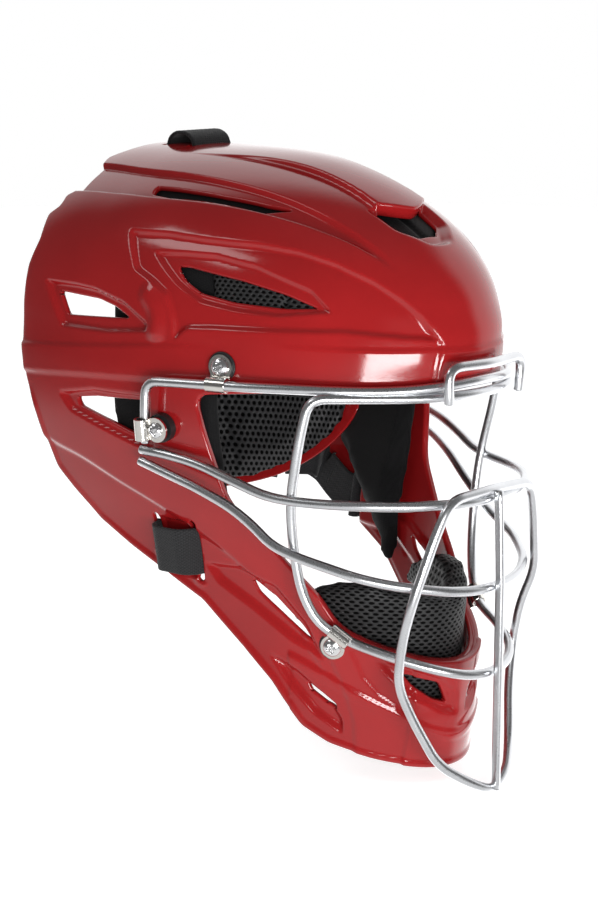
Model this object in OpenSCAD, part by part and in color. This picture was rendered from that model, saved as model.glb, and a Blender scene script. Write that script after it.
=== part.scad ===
// Catcher's mask: a hard shell with a wire face cage and a back plate that is held
// on elastic straps.  Millimetres.  The face points along -Y, the wearer's left is +X,
// the crown is +Z, and the origin is the middle of the head at eye height.

/* [Shell] */
// Half of the shell's greatest width
half_w = 98; // [92:1:104]
// How far the brow stands in front of the head's middle
brow_reach = 137; // [130:1:144]
// Height of the crown above eye level
crown_z = 138.5; // [132:0.5:146]
// Shell wall
wall = 4; // [3:0.5:5]

/* [Cage] */
// Diameter of the cage wire
wire_d = 5; // [4:0.5:6]
// Depth of the flat centre bar
center_bar_depth = 6; // [5:0.5:8]
// Width of the flat centre bar
center_bar_w = 4; // [3:0.5:5]

/* [Padding] */
// Thickness of the liner pads
pad_t = 8; // [6:1:9]
// Thickness of the chin pad
chin_pad_t = 17; // [12:1:20]

/* [Back plate] */
// Half width that the back plate keeps inside the shell's own half width
plate_inset = 18; // [18:1:22]
// How far the back plate stands behind the head's middle
plate_reach = 105; // [100:1:108]
// Back plate wall
plate_t = 3; // [2.5:0.5:4]
// Back plate pad thickness
plate_pad_t = 9; // [7:1:11]

/* [Straps] */
// Width of the webbing
strap_w = 26; // [20:1:28]
// Thickness of the webbing
strap_t = 2; // [1.5:0.5:2]

/* [Hidden] */
gap = 0.3;
liner_d = wall + strap_t + 2 * gap;   // webbing runs between the shell and the liner
chin_d = wall + 3;       // clear of the nuts inside the shell
side_d = liner_d + 1.2;  // clear of the webbing round the bend of the jaw
wire_r = wire_d / 2;
ease = 0.02;
brim_z = 50;            // the dome starts here
floor_z = -186;         // the closed body is cut away long before this
mid_y = 55;             // widest station, measured along Y
rear_reach = 166;       // the closed body's rear, also cut away
front_pow = 1.9;
rear_pow = 3;

// Height, half width and front reach of the shell below the dome.
stations = [
    [floor_z, half_w - 28, brow_reach - 19], [-172, half_w - 27, brow_reach - 17],
    [-140, half_w - 23, brow_reach - 11], [-95, half_w - 20, brow_reach - 7],
    [-62, half_w - 16, brow_reach - 4], [-35, half_w - 8, brow_reach - 3],
    [0, half_w, brow_reach - 3], [28, half_w + 1, brow_reach - 3],
    [brim_z, half_w, brow_reach]];
last = len(stations) - 1;

function arc(u, p) = pow(max(0, 1 - pow(u, p)), 1 / p);
function pick(z) = min([for (i = [0:last - 1]) if (z <= stations[i + 1][0]) i]);
function slope(i) =
    i == 0 ? (stations[1] - stations[0]) / (stations[1][0] - stations[0][0]) :
    i == last ? [1, 0, 0] :
    (stations[i + 1] - stations[i - 1]) / (stations[i + 1][0] - stations[i - 1][0]);

// Half width, front and rear at a height, with the whole family inset by d.
function low_dims(z) =
    let (i = pick(z), a = stations[i], b = stations[i + 1], h = b[0] - a[0], k = (z - a[0]) / h)
    (2 * k^3 - 3 * k^2 + 1) * a + (k^3 - 2 * k^2 + k) * h * slope(i)
    + (3 * k^2 - 2 * k^3) * b + (k^3 - k^2) * h * slope(i + 1);
function dims(z, d) =
    z <= brim_z ? let (r = low_dims(max(z, floor_z))) [r[1] - d, r[2] - d, rear_reach - d] :
    let (u = min(1, (z - brim_z) / (crown_z - d - brim_z)))
    [(half_w - d) * arc(u, 2.2),
     (brow_reach - d + mid_y) * arc(u, 2.2) - mid_y,
     (rear_reach - d - mid_y) * arc(u, 3.2) + mid_y];

// A point on the family at height z; t is 0 at the face and 180 at the nape,
// and it is positive on the wearer's left.
function at(z, t, d) =
    let (r = dims(z, d), c = cos(t), s = sin(t), n = c >= 0 ? front_pow : rear_pow)
    [r[0] * sign(s) * pow(abs(s), 2 / n),
     c >= 0 ? mid_y - (r[1] + mid_y) * pow(c, 2 / n) : mid_y + (r[2] - mid_y) * pow(-c, 2 / n),
     z];
function unit(v) = v / norm(v);
function normal(z, t, d) =
    unit(cross(at(z, t + 0.5, d) - at(z, t - 0.5, d), at(z + 0.5, t, d) - at(z - 0.5, t, d)));
// The angle at which the front half crosses a given y.
function angle_of(y, z, d = 0) =
    acos(pow((mid_y - y) / (mid_y + dims(z, d)[1]), front_pow / 2));
function height(v, lo, d) =
    v < 0.5 ? lo + (brim_z - lo) * v * 2 : brim_z + (crown_z - d - brim_z) * sin(180 * (v - 0.5));

// ---------------------------------------------------------------- meshes
function quad(a, b, c, d) = [[a, b, c], [a, c, d]];
function ring_faces(a, b, m) =
    [for (j = [0:m - 1]) each quad(a + j, a + (j + 1) % m, b + (j + 1) % m, b + j)];

// The whole closed body of the family at inset d.
module body_of(d, lo, levels = 32, m = 64) {
    pts = concat(
        [for (i = [0:levels - 1]) for (j = [0:m - 1])
            at(height(i / levels, lo, d), -180 + 360 * j / m, d)],
        [[0, 0, lo], [0, mid_y, crown_z - d]]);
    top = levels * m + 1;
    faces = concat(
        [for (i = [0:levels - 2]) each ring_faces(i * m, (i + 1) * m, m)],
        [for (j = [0:m - 1]) [(j + 1) % m, j, top - 1]],
        [for (j = [0:m - 1]) [(levels - 1) * m + j, (levels - 1) * m + (j + 1) % m, top]]);
    polyhedron(pts, [for (f = faces) [f[2], f[1], f[0]]], convexity = 8);
}

// A closed slab between two grids of the same size.
module slab(outer, inner) {
    n = len(outer);
    m = len(outer[0]);
    off = n * m;
    edge = concat([for (j = [0:m - 1]) j], [for (i = [1:n - 1]) i * m + m - 1],
                  [for (j = [m - 2:-1:0]) (n - 1) * m + j], [for (i = [n - 2:-1:1]) i * m]);
    e = len(edge);
    polyhedron(
        concat([for (r = outer) each r], [for (r = inner) each r]),
        concat(
            [for (i = [0:n - 2]) for (j = [0:m - 2])
                each quad(i * m + j, (i + 1) * m + j, (i + 1) * m + j + 1, i * m + j + 1)],
            [for (i = [0:n - 2]) for (j = [0:m - 2])
                each quad(off + i * m + j, off + i * m + j + 1, off + (i + 1) * m + j + 1,
                          off + (i + 1) * m + j)],
            [for (k = [0:e - 1])
                each quad(edge[k], edge[(k + 1) % e], off + edge[(k + 1) % e], off + edge[k])]),
        convexity = 8);
}

// A height on the outside of the shell, carried to the family's inset d.
function settle(z, d) =
    z <= brim_z ? z : brim_z + (z - brim_z) * (crown_z - d - brim_z) / (crown_z - brim_z);

// A liner pad: t runs from t0 to t1, and lo and hi give its edges for each t.
// The edges are drawn in, so that the pad is pillow shaped.
module liner(t0, t1, lo, hi, outside, inside, n = 12, m = 14) {
    function swell(i, j) = pow(sin(180 * i / n), 0.4) * pow(sin(180 * j / m), 0.4);
    function grid(face) = [for (i = [0:n]) [for (j = [0:m])
        let (t = t0 + (t1 - t0) * j / m, z = lo(t) + (hi(t) - lo(t)) * i / n,
             d = face ? outside : outside + (inside - outside) * (0.45 + 0.55 * swell(i, j)))
        at(settle(z, d), t, d)]];
    slab(grid(true), grid(false));
}

// A round wire along a path.
module wire(path, r = wire_r, sides = 8, closed = false) {
    n = len(path);
    function dir(i) = closed ? unit(path[(i + 1) % n] - path[(i + n - 1) % n]) :
        i == 0 ? unit(path[1] - path[0]) :
        i == n - 1 ? unit(path[n - 1] - path[n - 2]) :
        unit(unit(path[i + 1] - path[i]) + unit(path[i] - path[i - 1]));
    // Both half paths run away from x = 0, so this side vector never flips on them.
    function side(i) = unit(cross(dir(i), [0.13, 0.21, 0.97]));
    function lift(i) = cross(side(i), dir(i));
    pts = [for (i = [0:n - 1]) for (k = [0:sides - 1])
        path[i] + r * (cos(360 * k / sides) * side(i) + sin(360 * k / sides) * lift(i))];
    body = [for (i = [0:n - (closed ? 1 : 2)]) each ring_faces(i * sides, ((i + 1) % n) * sides, sides)];
    caps = closed ? [] : [[for (k = [sides - 1:-1:0]) k], [for (k = [0:sides - 1]) (n - 1) * sides + k]];
    polyhedron(pts, concat([for (f = body) [f[2], f[1], f[0]]], [for (f = caps) [for (k = [len(f) - 1:-1:0]) f[k]]]),
               convexity = 6);
}

// Round the corners of a path by curves that start `cut` before each of them.
function corner(p, q, r, cut) =
    let (a = q - p, b = r - q, c = min(cut, norm(a) * 0.48, norm(b) * 0.48),
         turn = acos(min(1, unit(a) * unit(b))), steps = max(1, ceil(turn / 22)))
    [for (k = [0:steps]) let (s = k / steps)
        (1 - s)^2 * (q - unit(a) * c) + 2 * s * (1 - s) * q + s^2 * (q + unit(b) * c)];
function rounded(p, cut) = concat([p[0]],
    [for (i = [1:len(p) - 2]) each corner(p[i - 1], p[i], p[i + 1], cut)], [p[len(p) - 1]]);
function rounded_loop(p, cut) = let (n = len(p))
    [for (i = [0:n - 1]) each corner(p[(i + n - 1) % n], p[i], p[(i + 1) % n], cut)];
function flip(p) = [-p[0], p[1], p[2]];
function mirrored(half) = concat(half, [for (i = [len(half) - 2:-1:0]) flip(half[i])]);
function loop_of(half) = concat(half, [for (i = [len(half) - 2:-1:1]) flip(half[i])]);

module both_sides() {
    children();
    mirror([1, 0, 0]) children();
}

// Outline work in the side view: x is Y, y is Z, and it is cut through along X.
module side_cut(from_x, to_x) {
    translate([from_x, 0, 0]) rotate([90, 0, 90]) linear_extrude(to_x - from_x) children();
}

// ---------------------------------------------------------------- cage paths (right half)
brow_half = [[-99, 2, -6], [-101, 0, 10], [-101, -1, 27], [-92, -37, 28.5], [-84, -59, 29],
             [-73, -82, 29.5], [-62, -100, 29.5], [-50, -114, 29.5], [-38, -125, 30],
             [-22, -135, 31.5], [0, -140, 33]];
ring_half = [[0, -139, 26], [-22, -135, 26], [-38, -125, 26], [-50, -113, 26], [-60, -103, 26],
             [-73, -90, 26], [-74.5, -85, 5], [-73, -77, -28], [-70, -76, -52], [-66, -78, -76],
             [-60, -84, -93], [-50, -97, -102], [-41, -119, -107.5], [-30, -136, -112],
             [-17, -145, -116], [0, -148, -118]];
upper_half = [[-99, 6, -10], [-95, -11, -11], [-91, -30, -13.5], [-87, -47, -19], [-80, -67, -26],
              [-74, -84, -27], [-66, -104, -26.5], [-56, -120, -26], [-45, -132, -26],
              [-32, -140, -26], [-17, -145, -26.5], [0, -146, -27]];
lower_half = [[-99, 7, -16], [-95, -10, -21], [-91, -28, -26], [-85, -46, -34], [-81, -58, -42],
              [-79, -70, -51], [-73, -83, -56], [-61, -111, -63], [-52, -123, -66],
              [-42, -134, -68], [-28, -143, -70.5], [-14, -147, -72], [0, -148, -72.5]];
guard_half = [[0, -148, -21.5], [-31, -146, -23], [-38, -143, -40], [-48, -137, -74],
              [-46, -129, -95], [-45, -125, -119], [-38, -129, -138], [-28, -138, -163],
              [-14, -148.5, -173.5], [0, -151.5, -180]];
handle_half = [[-26.5, -140.5, 23.5], [-28, -141, 42], [0, -146, 42]];
center_line = [[-151, -22], [-153, -70], [-153, -118], [-153, -179]];

// ---------------------------------------------------------------- shell cut lines (y, z)
shell_side = [[-240, 220], [88, 220], [92, 136], [97, 131], [91, 127], [90, 116], [96, 113], [95, 108],
              [102, 103], [100, 90], [105, 76], [107, 56], [108, 34], [105, 16], [97, -2],
              [93, -16], [88, -34], [76, -46], [60, -60], [38, -71], [15, -81], [-10, -93],
              [-33, -114], [-50, -131], [-65, -153], [-78, -161], [-98, -167], [-118, -172],
              [-240, -176]];
eye_port = [[-240, 33], [-134, 31], [-80, 27], [-24, 21], [-30, -5], [-36, -36], [-66, -69],
            [-78, -81], [-87, -97], [-102, -104], [-122, -112], [-136, -117], [-240, -121]];

// Screw stations on the shell: y, z, and the distance from the shell to the clip tab.
temple_at = [-40, 37];
side_at = [-5, 2.5];
jaw_at = [-84, -107];
side_stand = 6;
strap_y = [-10, 15];
strap_z = -66;
crown_strap_y = [58, 78];
crown_strap_w = 28;

// The frame of a spot on the right side of the shell: x out, y forward along it, z up it.
module on_side(p, d = 0) {
    t = -angle_of(p[0], p[1], d);
    o = at(p[1], t, d);
    n = normal(p[1], t, d);
    f = unit(cross([0, 0, 1], n));
    u = cross(n, f);
    multmatrix([[n[0], f[0], u[0], o[0]], [n[1], f[1], u[1], o[1]], [n[2], f[2], u[2], o[2]]]) children();
}

// A slot through the shell between two spots, square to its surface.
module slot(a, b, ra, rb) {
    hull() {
        on_side(a) rotate([0, 90, 0]) cylinder(r = ra, h = 24, center = true, $fn = 20);
        on_side(b) rotate([0, 90, 0]) cylinder(r = rb, h = 24, center = true, $fn = 20);
    }
}

// A slot cut straight in from the side, for the shell behind its widest station.
module rear_slot(a, b, ra, rb) {
    hull() {
        translate([-120, a[0], a[1]]) rotate([0, 90, 0]) cylinder(r = ra, h = 80, $fn = 20);
        translate([-120, b[0], b[1]]) rotate([0, 90, 0]) cylinder(r = rb, h = 80, $fn = 20);
    }
}

// ---------------------------------------------------------------- sub-parts
module outer_shell() {
    color("FireBrick")
    difference() {
        body_of(0, floor_z);
        body_of(wall, floor_z - 4);
        difference() {
            cube([300, 520, 520], center = true);
            side_cut(-140, 140) offset(r = 2, $fn = 16) offset(delta = -2) polygon(shell_side);
        }
        side_cut(-140, 140) offset(r = 7, $fn = 24) offset(delta = -7) polygon(eye_port);
        both_sides() {
            // upper side vent, a long leaf
            slot([-12, 80], [-46, 76], 3.5, 5);
            slot([-46, 76], [-80, 70], 5, 1.5);
            // crown slot
            slot([28, 120], [-10, 119], 2, 2.6);
            slot([-10, 119], [-44, 113], 2.6, 1);
            // upper and lower rear vents
            rear_slot([70, 59], [44, 59], 5, 4);
            rear_slot([44, 59], [20, 57], 4, 1.5);
            rear_slot([58, 7], [24, 6], 2, 5);
            rear_slot([24, 6], [15, 3], 5, 6.5);
            // jaw slots
            slot([-42, -79], [-58, -92], 1, 2.4);
            slot([-58, -92], [-72, -106], 2.4, 1);
            slot([-70, -131], [-82, -142], 1, 2);
            // strap slits
            for (y = strap_y)
                slot([y, strap_z - 15], [y, strap_z + 15], 1.9, 1.9);
            // chin vent
            hull() {
                translate([-26, -140, -122]) rotate([-90, 0, 0]) cylinder(r = 1.5, h = 45, $fn = 16);
                translate([-10, -140, -127]) rotate([-90, 0, 0]) cylinder(r = 1.5, h = 45, $fn = 16);
                translate([-10, -140, -134]) rotate([-90, 0, 0]) cylinder(r = 1.5, h = 45, $fn = 16);
                translate([-17, -140, -134]) rotate([-90, 0, 0]) cylinder(r = 1.5, h = 45, $fn = 16);
            }
            // screw holes
            on_side(temple_at) rotate([0, 90, 0]) cylinder(r = 2.7, h = 20, center = true, $fn = 24);
            on_side(side_at) rotate([0, 90, 0]) cylinder(r = 2.7, h = 20, center = true, $fn = 24);
            on_side(jaw_at) rotate([0, 90, 0]) cylinder(r = 2.7, h = 20, center = true, $fn = 24);
        }
        // front scoop
        hull() {
            translate([-14, -88, 90]) cylinder(r = 2, h = 40, $fn = 16);
            translate([14, -88, 90]) cylinder(r = 2, h = 40, $fn = 16);
            translate([0, -104, 90]) cylinder(r = 2, h = 40, $fn = 16);
        }
        // crown strap slits
        for (y = crown_strap_y)
            translate([0, y, 130]) cube([crown_strap_w + 2, 3.4, 30], center = true);
    }
}

module brow_pad() {
    color("DimGray")
    liner(-61.5, 61.5, function(t) 33 - 5 * pow(sin(t), 2), function(t) 94,
          liner_d, liner_d + pad_t, 8, 18);
}

module crown_pad() {
    color("DimGray")
    liner(-100, 100, function(t) 101, function(t) 137.4, liner_d, liner_d + pad_t, 5, 26);
}

module side_pad() {
    // its lower rear corner is cut away for the jaw strap
    liner(-85, -62, function(t) -30 - (t + 85) * 2.95, function(t) 94,
          side_d, side_d + pad_t, 14, 6);
}
module side_pad_right() {
    color("DimGray") side_pad();
}
module side_pad_left() {
    color("DimGray") mirror([1, 0, 0]) side_pad();
}

module chin_pad() {
    color("DimGray")
    // its ends rise clear of the long jaw slots
    liner(-50, 50, function(t) -150 + 22 * pow(sin(t * 1.4), 2)
              + 34 * pow(sin(90 * max(0, (abs(t) - 34) / 16)), 2),
          function(t) -83 + 11 * pow(sin(t * 2.2), 2) - 16 * pow(abs(t) / 50, 6),
          chin_d, chin_d + chin_pad_t, 8, 20);
}

module brow_bar() {
    color("Silver") wire(rounded(mirrored(brow_half), 9));
}
module eye_ring() {
    color("Silver") wire(rounded_loop(loop_of(ring_half), 11), closed = true);
}
module upper_cheek_bar() {
    color("Silver") wire(rounded(mirrored(upper_half), 12));
}
module lower_cheek_bar() {
    color("Silver") wire(rounded(mirrored(lower_half), 12));
}
module front_guard_loop() {
    color("Silver") wire(rounded_loop(loop_of(guard_half), 9), closed = true);
}
module brow_guard_loop() {
    color("Silver") wire(rounded(mirrored(handle_half), 8));
}
module center_bar() {
    color("Silver")
    side_cut(-center_bar_w / 2, center_bar_w / 2) polygon(concat(
        [for (p = center_line) p - [center_bar_depth / 2, 0]],
        [for (i = [3:-1:0]) center_line[i] + [center_bar_depth / 2, 0]]));
}

// A strap clip: it wraps a wire that lies `up` above the screw and `out` from the shell,
// and its tab is held by the screw.  The wire runs along the local y axis.
module clip(up, out, stand) {
    difference() {
        union() {
            translate([out, 0, up]) rotate([90, 0, 0]) cylinder(r = wire_r + 1.3, h = 11, center = true, $fn = 32);
            translate([stand, 0, 0]) rotate([0, 90, 0]) cylinder(r = 6.5, h = 1.3, $fn = 32);
            translate([stand, -5.5, 0]) cube([1.3, 11, up]);
        }
        translate([out, 0, up]) rotate([90, 0, 0]) cylinder(r = wire_r + ease, h = 30, center = true, $fn = 32);
        translate([-1, 0, 0]) rotate([0, 90, 0]) cylinder(r = 2.5, h = 20, $fn = 32);
    }
}
module temple_clips() {
    color("Gainsboro") both_sides() on_side(temple_at) rotate([180, 0, 0]) clip(8.5, 5.5, 1.2);
}
module side_clips() {
    color("Gainsboro") both_sides() on_side(side_at) rotate([90, 0, 0]) clip(8, 8.5, side_stand);
}
module jaw_clips() {
    color("Gainsboro") both_sides() on_side(jaw_at) clip(8, 5.5, 1.2);
}
module side_spacers() {
    color("Black") both_sides() on_side(side_at) rotate([0, 90, 0]) difference() {
        union() {
            cylinder(r = 7.5, h = side_stand - 2, $fn = 40);
            cylinder(r = 4, h = side_stand, $fn = 40);
        }
        translate([0, 0, -1]) cylinder(r = 2.6, h = 20, $fn = 32);
    }
}

// A pan-head screw whose head seats on a clip tab, and its T-nut inside the shell.
module screw(stand, head_r = 4.8) {
    rotate([0, 90, 0]) difference() {
        union() {
            translate([0, 0, stand + 1.3]) cylinder(r = head_r, h = 1.4, $fn = 32);
            translate([0, 0, stand + 2.7]) cylinder(r1 = head_r, r2 = head_r - 2, h = 1.4, $fn = 32);
            translate([0, 0, -wall - 1]) cylinder(r = 2.4, h = wall + stand + 3, $fn = 32);
        }
        for (a = [0, 90]) rotate(a + 20) translate([0, 0, stand + 3.6]) cube([1.1, 5, 2.2], center = true);
    }
}
module clip_screws() {
    color("WhiteSmoke") both_sides() {
        on_side(temple_at) screw(1.2);
        on_side(side_at) screw(side_stand, 4.1);
        on_side(jaw_at) screw(1.2);
    }
}
module clip_nuts() {
    color("DarkGray") both_sides() for (p = [temple_at, side_at, jaw_at])
        on_side(p) translate([-wall - 1.6, 0, 0]) rotate([0, 90, 0]) difference() {
            cylinder(r = 6, h = 1.4, $fn = 32);
            translate([0, 0, -1]) cylinder(r = 2.42, h = 5, $fn = 32);
        }
}

// ---------------------------------------------------------------- straps
// A band of webbing along a path; `across` gives the direction of its width.
module webbing(path, across, w = strap_w, t = strap_t) {
    n = len(path);
    function dir(i) = unit(path[min(i + 1, n - 1)] - path[max(i - 1, 0)]);
    function side(i) = unit(across - (across * dir(i)) * dir(i));
    function face(k) = [for (i = [0:n - 1]) [for (s = [-1, 1])
        path[i] + s * w / 2 * side(i) + k * t / 2 * cross(dir(i), side(i))]];
    slab(face(1), face(-1));
}

// The band that shows outside the crown, from inside one slit to inside the other.
module top_strap_loop() {
    color("Black") webbing(rounded([
        [0, 44, 132.9], [0, 55.5, 132.9], [0, 59, 142], [0, 64, 144.5], [0, 72, 144.5],
        [0, 77, 141.5], [0, 80, 132.4], [0, 84, 132]], 3), [1, 0, 0], crown_strap_w);
}

// The same at each side of the jaw; its width runs up the shell.
function strap_spot(y, d, z = strap_z) = at(z, -angle_of(y, z, d), d);
strap_up = unit(at(strap_z + 10, -75, 0) - at(strap_z - 10, -75, 0));
module side_strap_loop() {
    a = strap_y[0];
    b = strap_y[1];
    webbing(rounded([strap_spot(a - 9, wall + 1.3), strap_spot(a - 2, wall + 1.3),
                     strap_spot(a + 1, -3), strap_spot(a + 5, -7), strap_spot(b - 5, -7),
                     strap_spot(b - 1, -3), strap_spot(b + 2, wall + 1.3),
                     strap_spot(b + 5, wall + 1.3)], 3), strap_up);
}
module side_strap_right() {
    color("Black") side_strap_loop();
}
module side_strap_left() {
    color("Black") mirror([1, 0, 0]) side_strap_loop();
}

// ---------------------------------------------------------------- back plate
// A point of the back plate; phi is 0 at the nape, and d goes in towards the head.
function tuck(z) = 1 - 0.06 * pow(z / 60, 2);
function plate_at(phi, z, d) = [
    -(dims(min(z, brim_z), 0)[0] - plate_inset - d) * tuck(z) * sin(phi),
    (plate_reach - d) * tuck(z) * cos(phi), z];
function plate_half_h(phi) = 63 * pow(1 - pow(abs(phi) / 83, 3.5), 0.6);
module shell_of_plate(outside, inside, n = 12, m = 24, drawn = 0) {
    function swell(i, j) = drawn == 0 ? 1 : 0.4 + 0.6 * pow(sin(180 * i / n), 0.4) * pow(sin(180 * j / m), 0.4);
    function grid(face) = [for (i = [0:n]) [for (j = [0:m])
        let (phi = (82 - drawn) * (2 * j / m - 1), z = -3 + (plate_half_h(phi) - drawn) * (2 * i / n - 1))
        plate_at(phi, z, face ? outside : outside + (inside - outside) * swell(i, j))]];
    slab(grid(false), grid(true));
}
module back_plate() {
    color("FireBrick") shell_of_plate(0, plate_t);
}
module back_plate_pad() {
    color("DimGray") shell_of_plate(plate_t, plate_t + plate_pad_t, 8, 16, 3);
}

// Two ears on the plate's top edge hold the bar that the top strap loops round.
bar_y = 101;
bar_z = 66;
bar_r = 2.5;
module plate_crossbar() {
    color("FireBrick") {
        translate([-19, bar_y, bar_z]) rotate([0, 90, 0]) cylinder(r = bar_r, h = 38, $fn = 32);
        for (x = [-19, 16])
            difference() {
                union() {
                    translate([x, bar_y, bar_z]) rotate([0, 90, 0]) cylinder(r = 5, h = 3, $fn = 32);
                    translate([x, bar_y - 4, 50]) cube([3, 5, bar_z - 50]);
                }
                translate([x - 1, bar_y, bar_z]) rotate([0, 90, 0]) cylinder(r = bar_r, h = 5, $fn = 32);
            }
    }
}

// The sewn loop at the end of the top strap, free to turn on the bar.
module top_strap_end() {
    color("Black") translate([-crown_strap_w / 2, bar_y, bar_z]) rotate([0, 90, 0]) {
        difference() {
            union() {
                cylinder(r = bar_r + gap + strap_t, h = crown_strap_w, $fn = 40);
                translate([-14, bar_r + gap, 0]) cube([14, strap_t, crown_strap_w]);
            }
            translate([0, 0, -1]) cylinder(r = bar_r + gap, h = crown_strap_w + 2, $fn = 40);
        }
    }
}

// Elastic webbing from the shell's slits to the back plate.
module top_strap() {
    color("Black") webbing(rounded([
        [0, 84.3, 132], [0, 92, 129], [0, 100, 116], [0, 104, 100],
        [0, bar_y + bar_r + gap + strap_t / 2, bar_z + 14.4]], 8), [1, 0, 0], crown_strap_w);
}
stud_phi = 47;
stud_z = -46;
module lower_strap() {
    webbing(rounded([strap_spot(strap_y[1] + 8.4, wall + 1.6, -65.2), strap_spot(28, wall + 2.4, -63.8),
                     strap_spot(38, wall + 3, -58), strap_spot(48, wall + 3.2, -52), plate_at(67, -46, -8),
                     plate_at(62, -46, -4.7), plate_at(stud_phi + 9, stud_z - 0.5, -3.5)], 4),
            strap_up, strap_w - 4);
}
module lower_strap_right() {
    color("Black") lower_strap();
}
module lower_strap_left() {
    color("Black") mirror([1, 0, 0]) lower_strap();
}
module lower_strap_ends() {
    color("Black") both_sides()
        webbing([plate_at(stud_phi + 6.8, stud_z - 0.5, -1.6), plate_at(stud_phi + 1, stud_z, -1.4),
                 plate_at(stud_phi - 7, stud_z, -1.3)], strap_up);
}
module strap_studs() {
    color("Black") both_sides() {
        o = plate_at(stud_phi, stud_z, 0);
        n = unit(cross(plate_at(stud_phi, stud_z + 1, 0) - o, plate_at(stud_phi + 1, stud_z, 0) - o));
        f = unit(cross([0, 0, 1], n));
        u = cross(n, f);
        multmatrix([[n[0], f[0], u[0], o[0]], [n[1], f[1], u[1], o[1]], [n[2], f[2], u[2], o[2]]])
            rotate([0, 90, 0]) {
                translate([0, 0, -2]) cylinder(r = 2.5, h = 5, $fn = 32);
                translate([0, 0, 2.5]) cylinder(r1 = 7, r2 = 5.5, h = 1.8, $fn = 32);
            }
    }
}

outer_shell();
brow_pad();
crown_pad();
side_pad_right();
side_pad_left();
chin_pad();
brow_bar();
eye_ring();
upper_cheek_bar();
lower_cheek_bar();
front_guard_loop();
center_bar();
brow_guard_loop();
temple_clips();
side_clips();
jaw_clips();
side_spacers();
clip_screws();
clip_nuts();
top_strap_loop();
side_strap_right();
side_strap_left();
top_strap();
lower_strap_right();
lower_strap_left();
top_strap_end();
back_plate();
back_plate_pad();
plate_crossbar();
lower_strap_ends();
strap_studs();
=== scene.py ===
"""The looks of the catcher's mask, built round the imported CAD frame.

Pieces are worked out in millimetres in the frame's own axes: the face points along -Y, the
wearer's left is +X, the crown is +Z, and the origin is the middle of the head at eye height.
"""
import math

import bmesh
import bpy
import numpy as np
from mathutils import Matrix, Vector


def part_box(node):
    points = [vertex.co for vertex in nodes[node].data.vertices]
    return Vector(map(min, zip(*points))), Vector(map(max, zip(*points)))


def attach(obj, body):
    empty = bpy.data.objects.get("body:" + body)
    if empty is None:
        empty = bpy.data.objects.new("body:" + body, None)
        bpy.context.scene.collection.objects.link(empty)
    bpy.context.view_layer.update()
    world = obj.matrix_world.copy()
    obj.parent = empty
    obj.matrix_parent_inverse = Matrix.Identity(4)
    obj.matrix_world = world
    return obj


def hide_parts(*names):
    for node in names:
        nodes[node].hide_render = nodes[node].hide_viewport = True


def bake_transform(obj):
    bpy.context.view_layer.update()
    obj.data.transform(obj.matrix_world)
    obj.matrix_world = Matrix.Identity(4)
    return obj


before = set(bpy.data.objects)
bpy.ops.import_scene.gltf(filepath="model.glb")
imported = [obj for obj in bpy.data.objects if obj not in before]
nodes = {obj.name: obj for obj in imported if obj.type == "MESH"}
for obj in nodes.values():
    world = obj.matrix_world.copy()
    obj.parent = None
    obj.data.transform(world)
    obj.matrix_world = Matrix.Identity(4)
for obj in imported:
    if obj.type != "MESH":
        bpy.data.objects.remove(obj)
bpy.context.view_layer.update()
MM = 0.001

# ---------------------------------------------------------------- the shell's family of surfaces
WALL = 4.0
BRIM_Z, CROWN_Z, MID_Y, REAR_REACH = 50.0, 138.5, 55.0, 166.0
HALF_W, BROW_REACH = 98.0, 137.0
FLOOR_Z = -180.0
FRONT_POW, REAR_POW = 1.9, 3.0
DOME_POW, DOME_REAR_POW = 2.2, 3.2
# Height, half width and front reach below the dome.
STATIONS = np.array([
    [-186, 70, 118], [-172, 71, 120], [-140, 75, 126], [-95, 78, 130], [-62, 82, 133],
    [-35, 90, 134], [0, 98, 134], [28, 99, 134], [50, 98, 137]], float)


def hermite(x, knots, values, end_slope=None):
    """A smooth curve through (knots, values), which is straight beyond its ends."""
    knots, values = np.asarray(knots, float), np.asarray(values, float)
    slopes = np.gradient(values, knots)
    slopes[1:-1] = (values[2:] - values[:-2]) / (knots[2:] - knots[:-2])
    if end_slope is not None:
        slopes[-1] = end_slope
    x = np.asarray(x, float)
    inside = np.clip(x, knots[0], knots[-1])
    i = np.clip(np.searchsorted(knots, inside, side="right") - 1, 0, len(knots) - 2)
    h = knots[i + 1] - knots[i]
    k = (inside - knots[i]) / h
    made = ((2 * k**3 - 3 * k**2 + 1) * values[i] + (k**3 - 2 * k**2 + k) * h * slopes[i]
            + (3 * k**2 - 2 * k**3) * values[i + 1] + (k**3 - k**2) * h * slopes[i + 1])
    return made + (x - inside) * np.where(x < inside, slopes[0], slopes[-1])


def arc(u, power):
    """Height of a superellipse's quarter at u, from 1 in the middle to 0 at its end."""
    return np.maximum(0, 1 - np.abs(u)**power)**(1 / power)


def dims(z, d=0.0):
    """Half width, front reach and rear reach at a height, with the family inset by d."""
    z = np.asarray(z, float)
    low_w = hermite(z, STATIONS[:, 0], STATIONS[:, 1], 0) - d
    low_f = hermite(z, STATIONS[:, 0], STATIONS[:, 2], 0) - d
    u = np.clip((z - BRIM_Z) / (CROWN_Z - d - BRIM_Z), 0, 1)
    dome_w = (HALF_W - d) * arc(u, DOME_POW)
    dome_f = (BROW_REACH - d + MID_Y) * arc(u, DOME_POW) - MID_Y
    dome_r = (REAR_REACH - d - MID_Y) * arc(u, DOME_REAR_POW) + MID_Y
    dome = z > BRIM_Z
    return (np.where(dome, dome_w, low_w), np.where(dome, dome_f, low_f),
            np.where(dome, dome_r, REAR_REACH - d))


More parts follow.
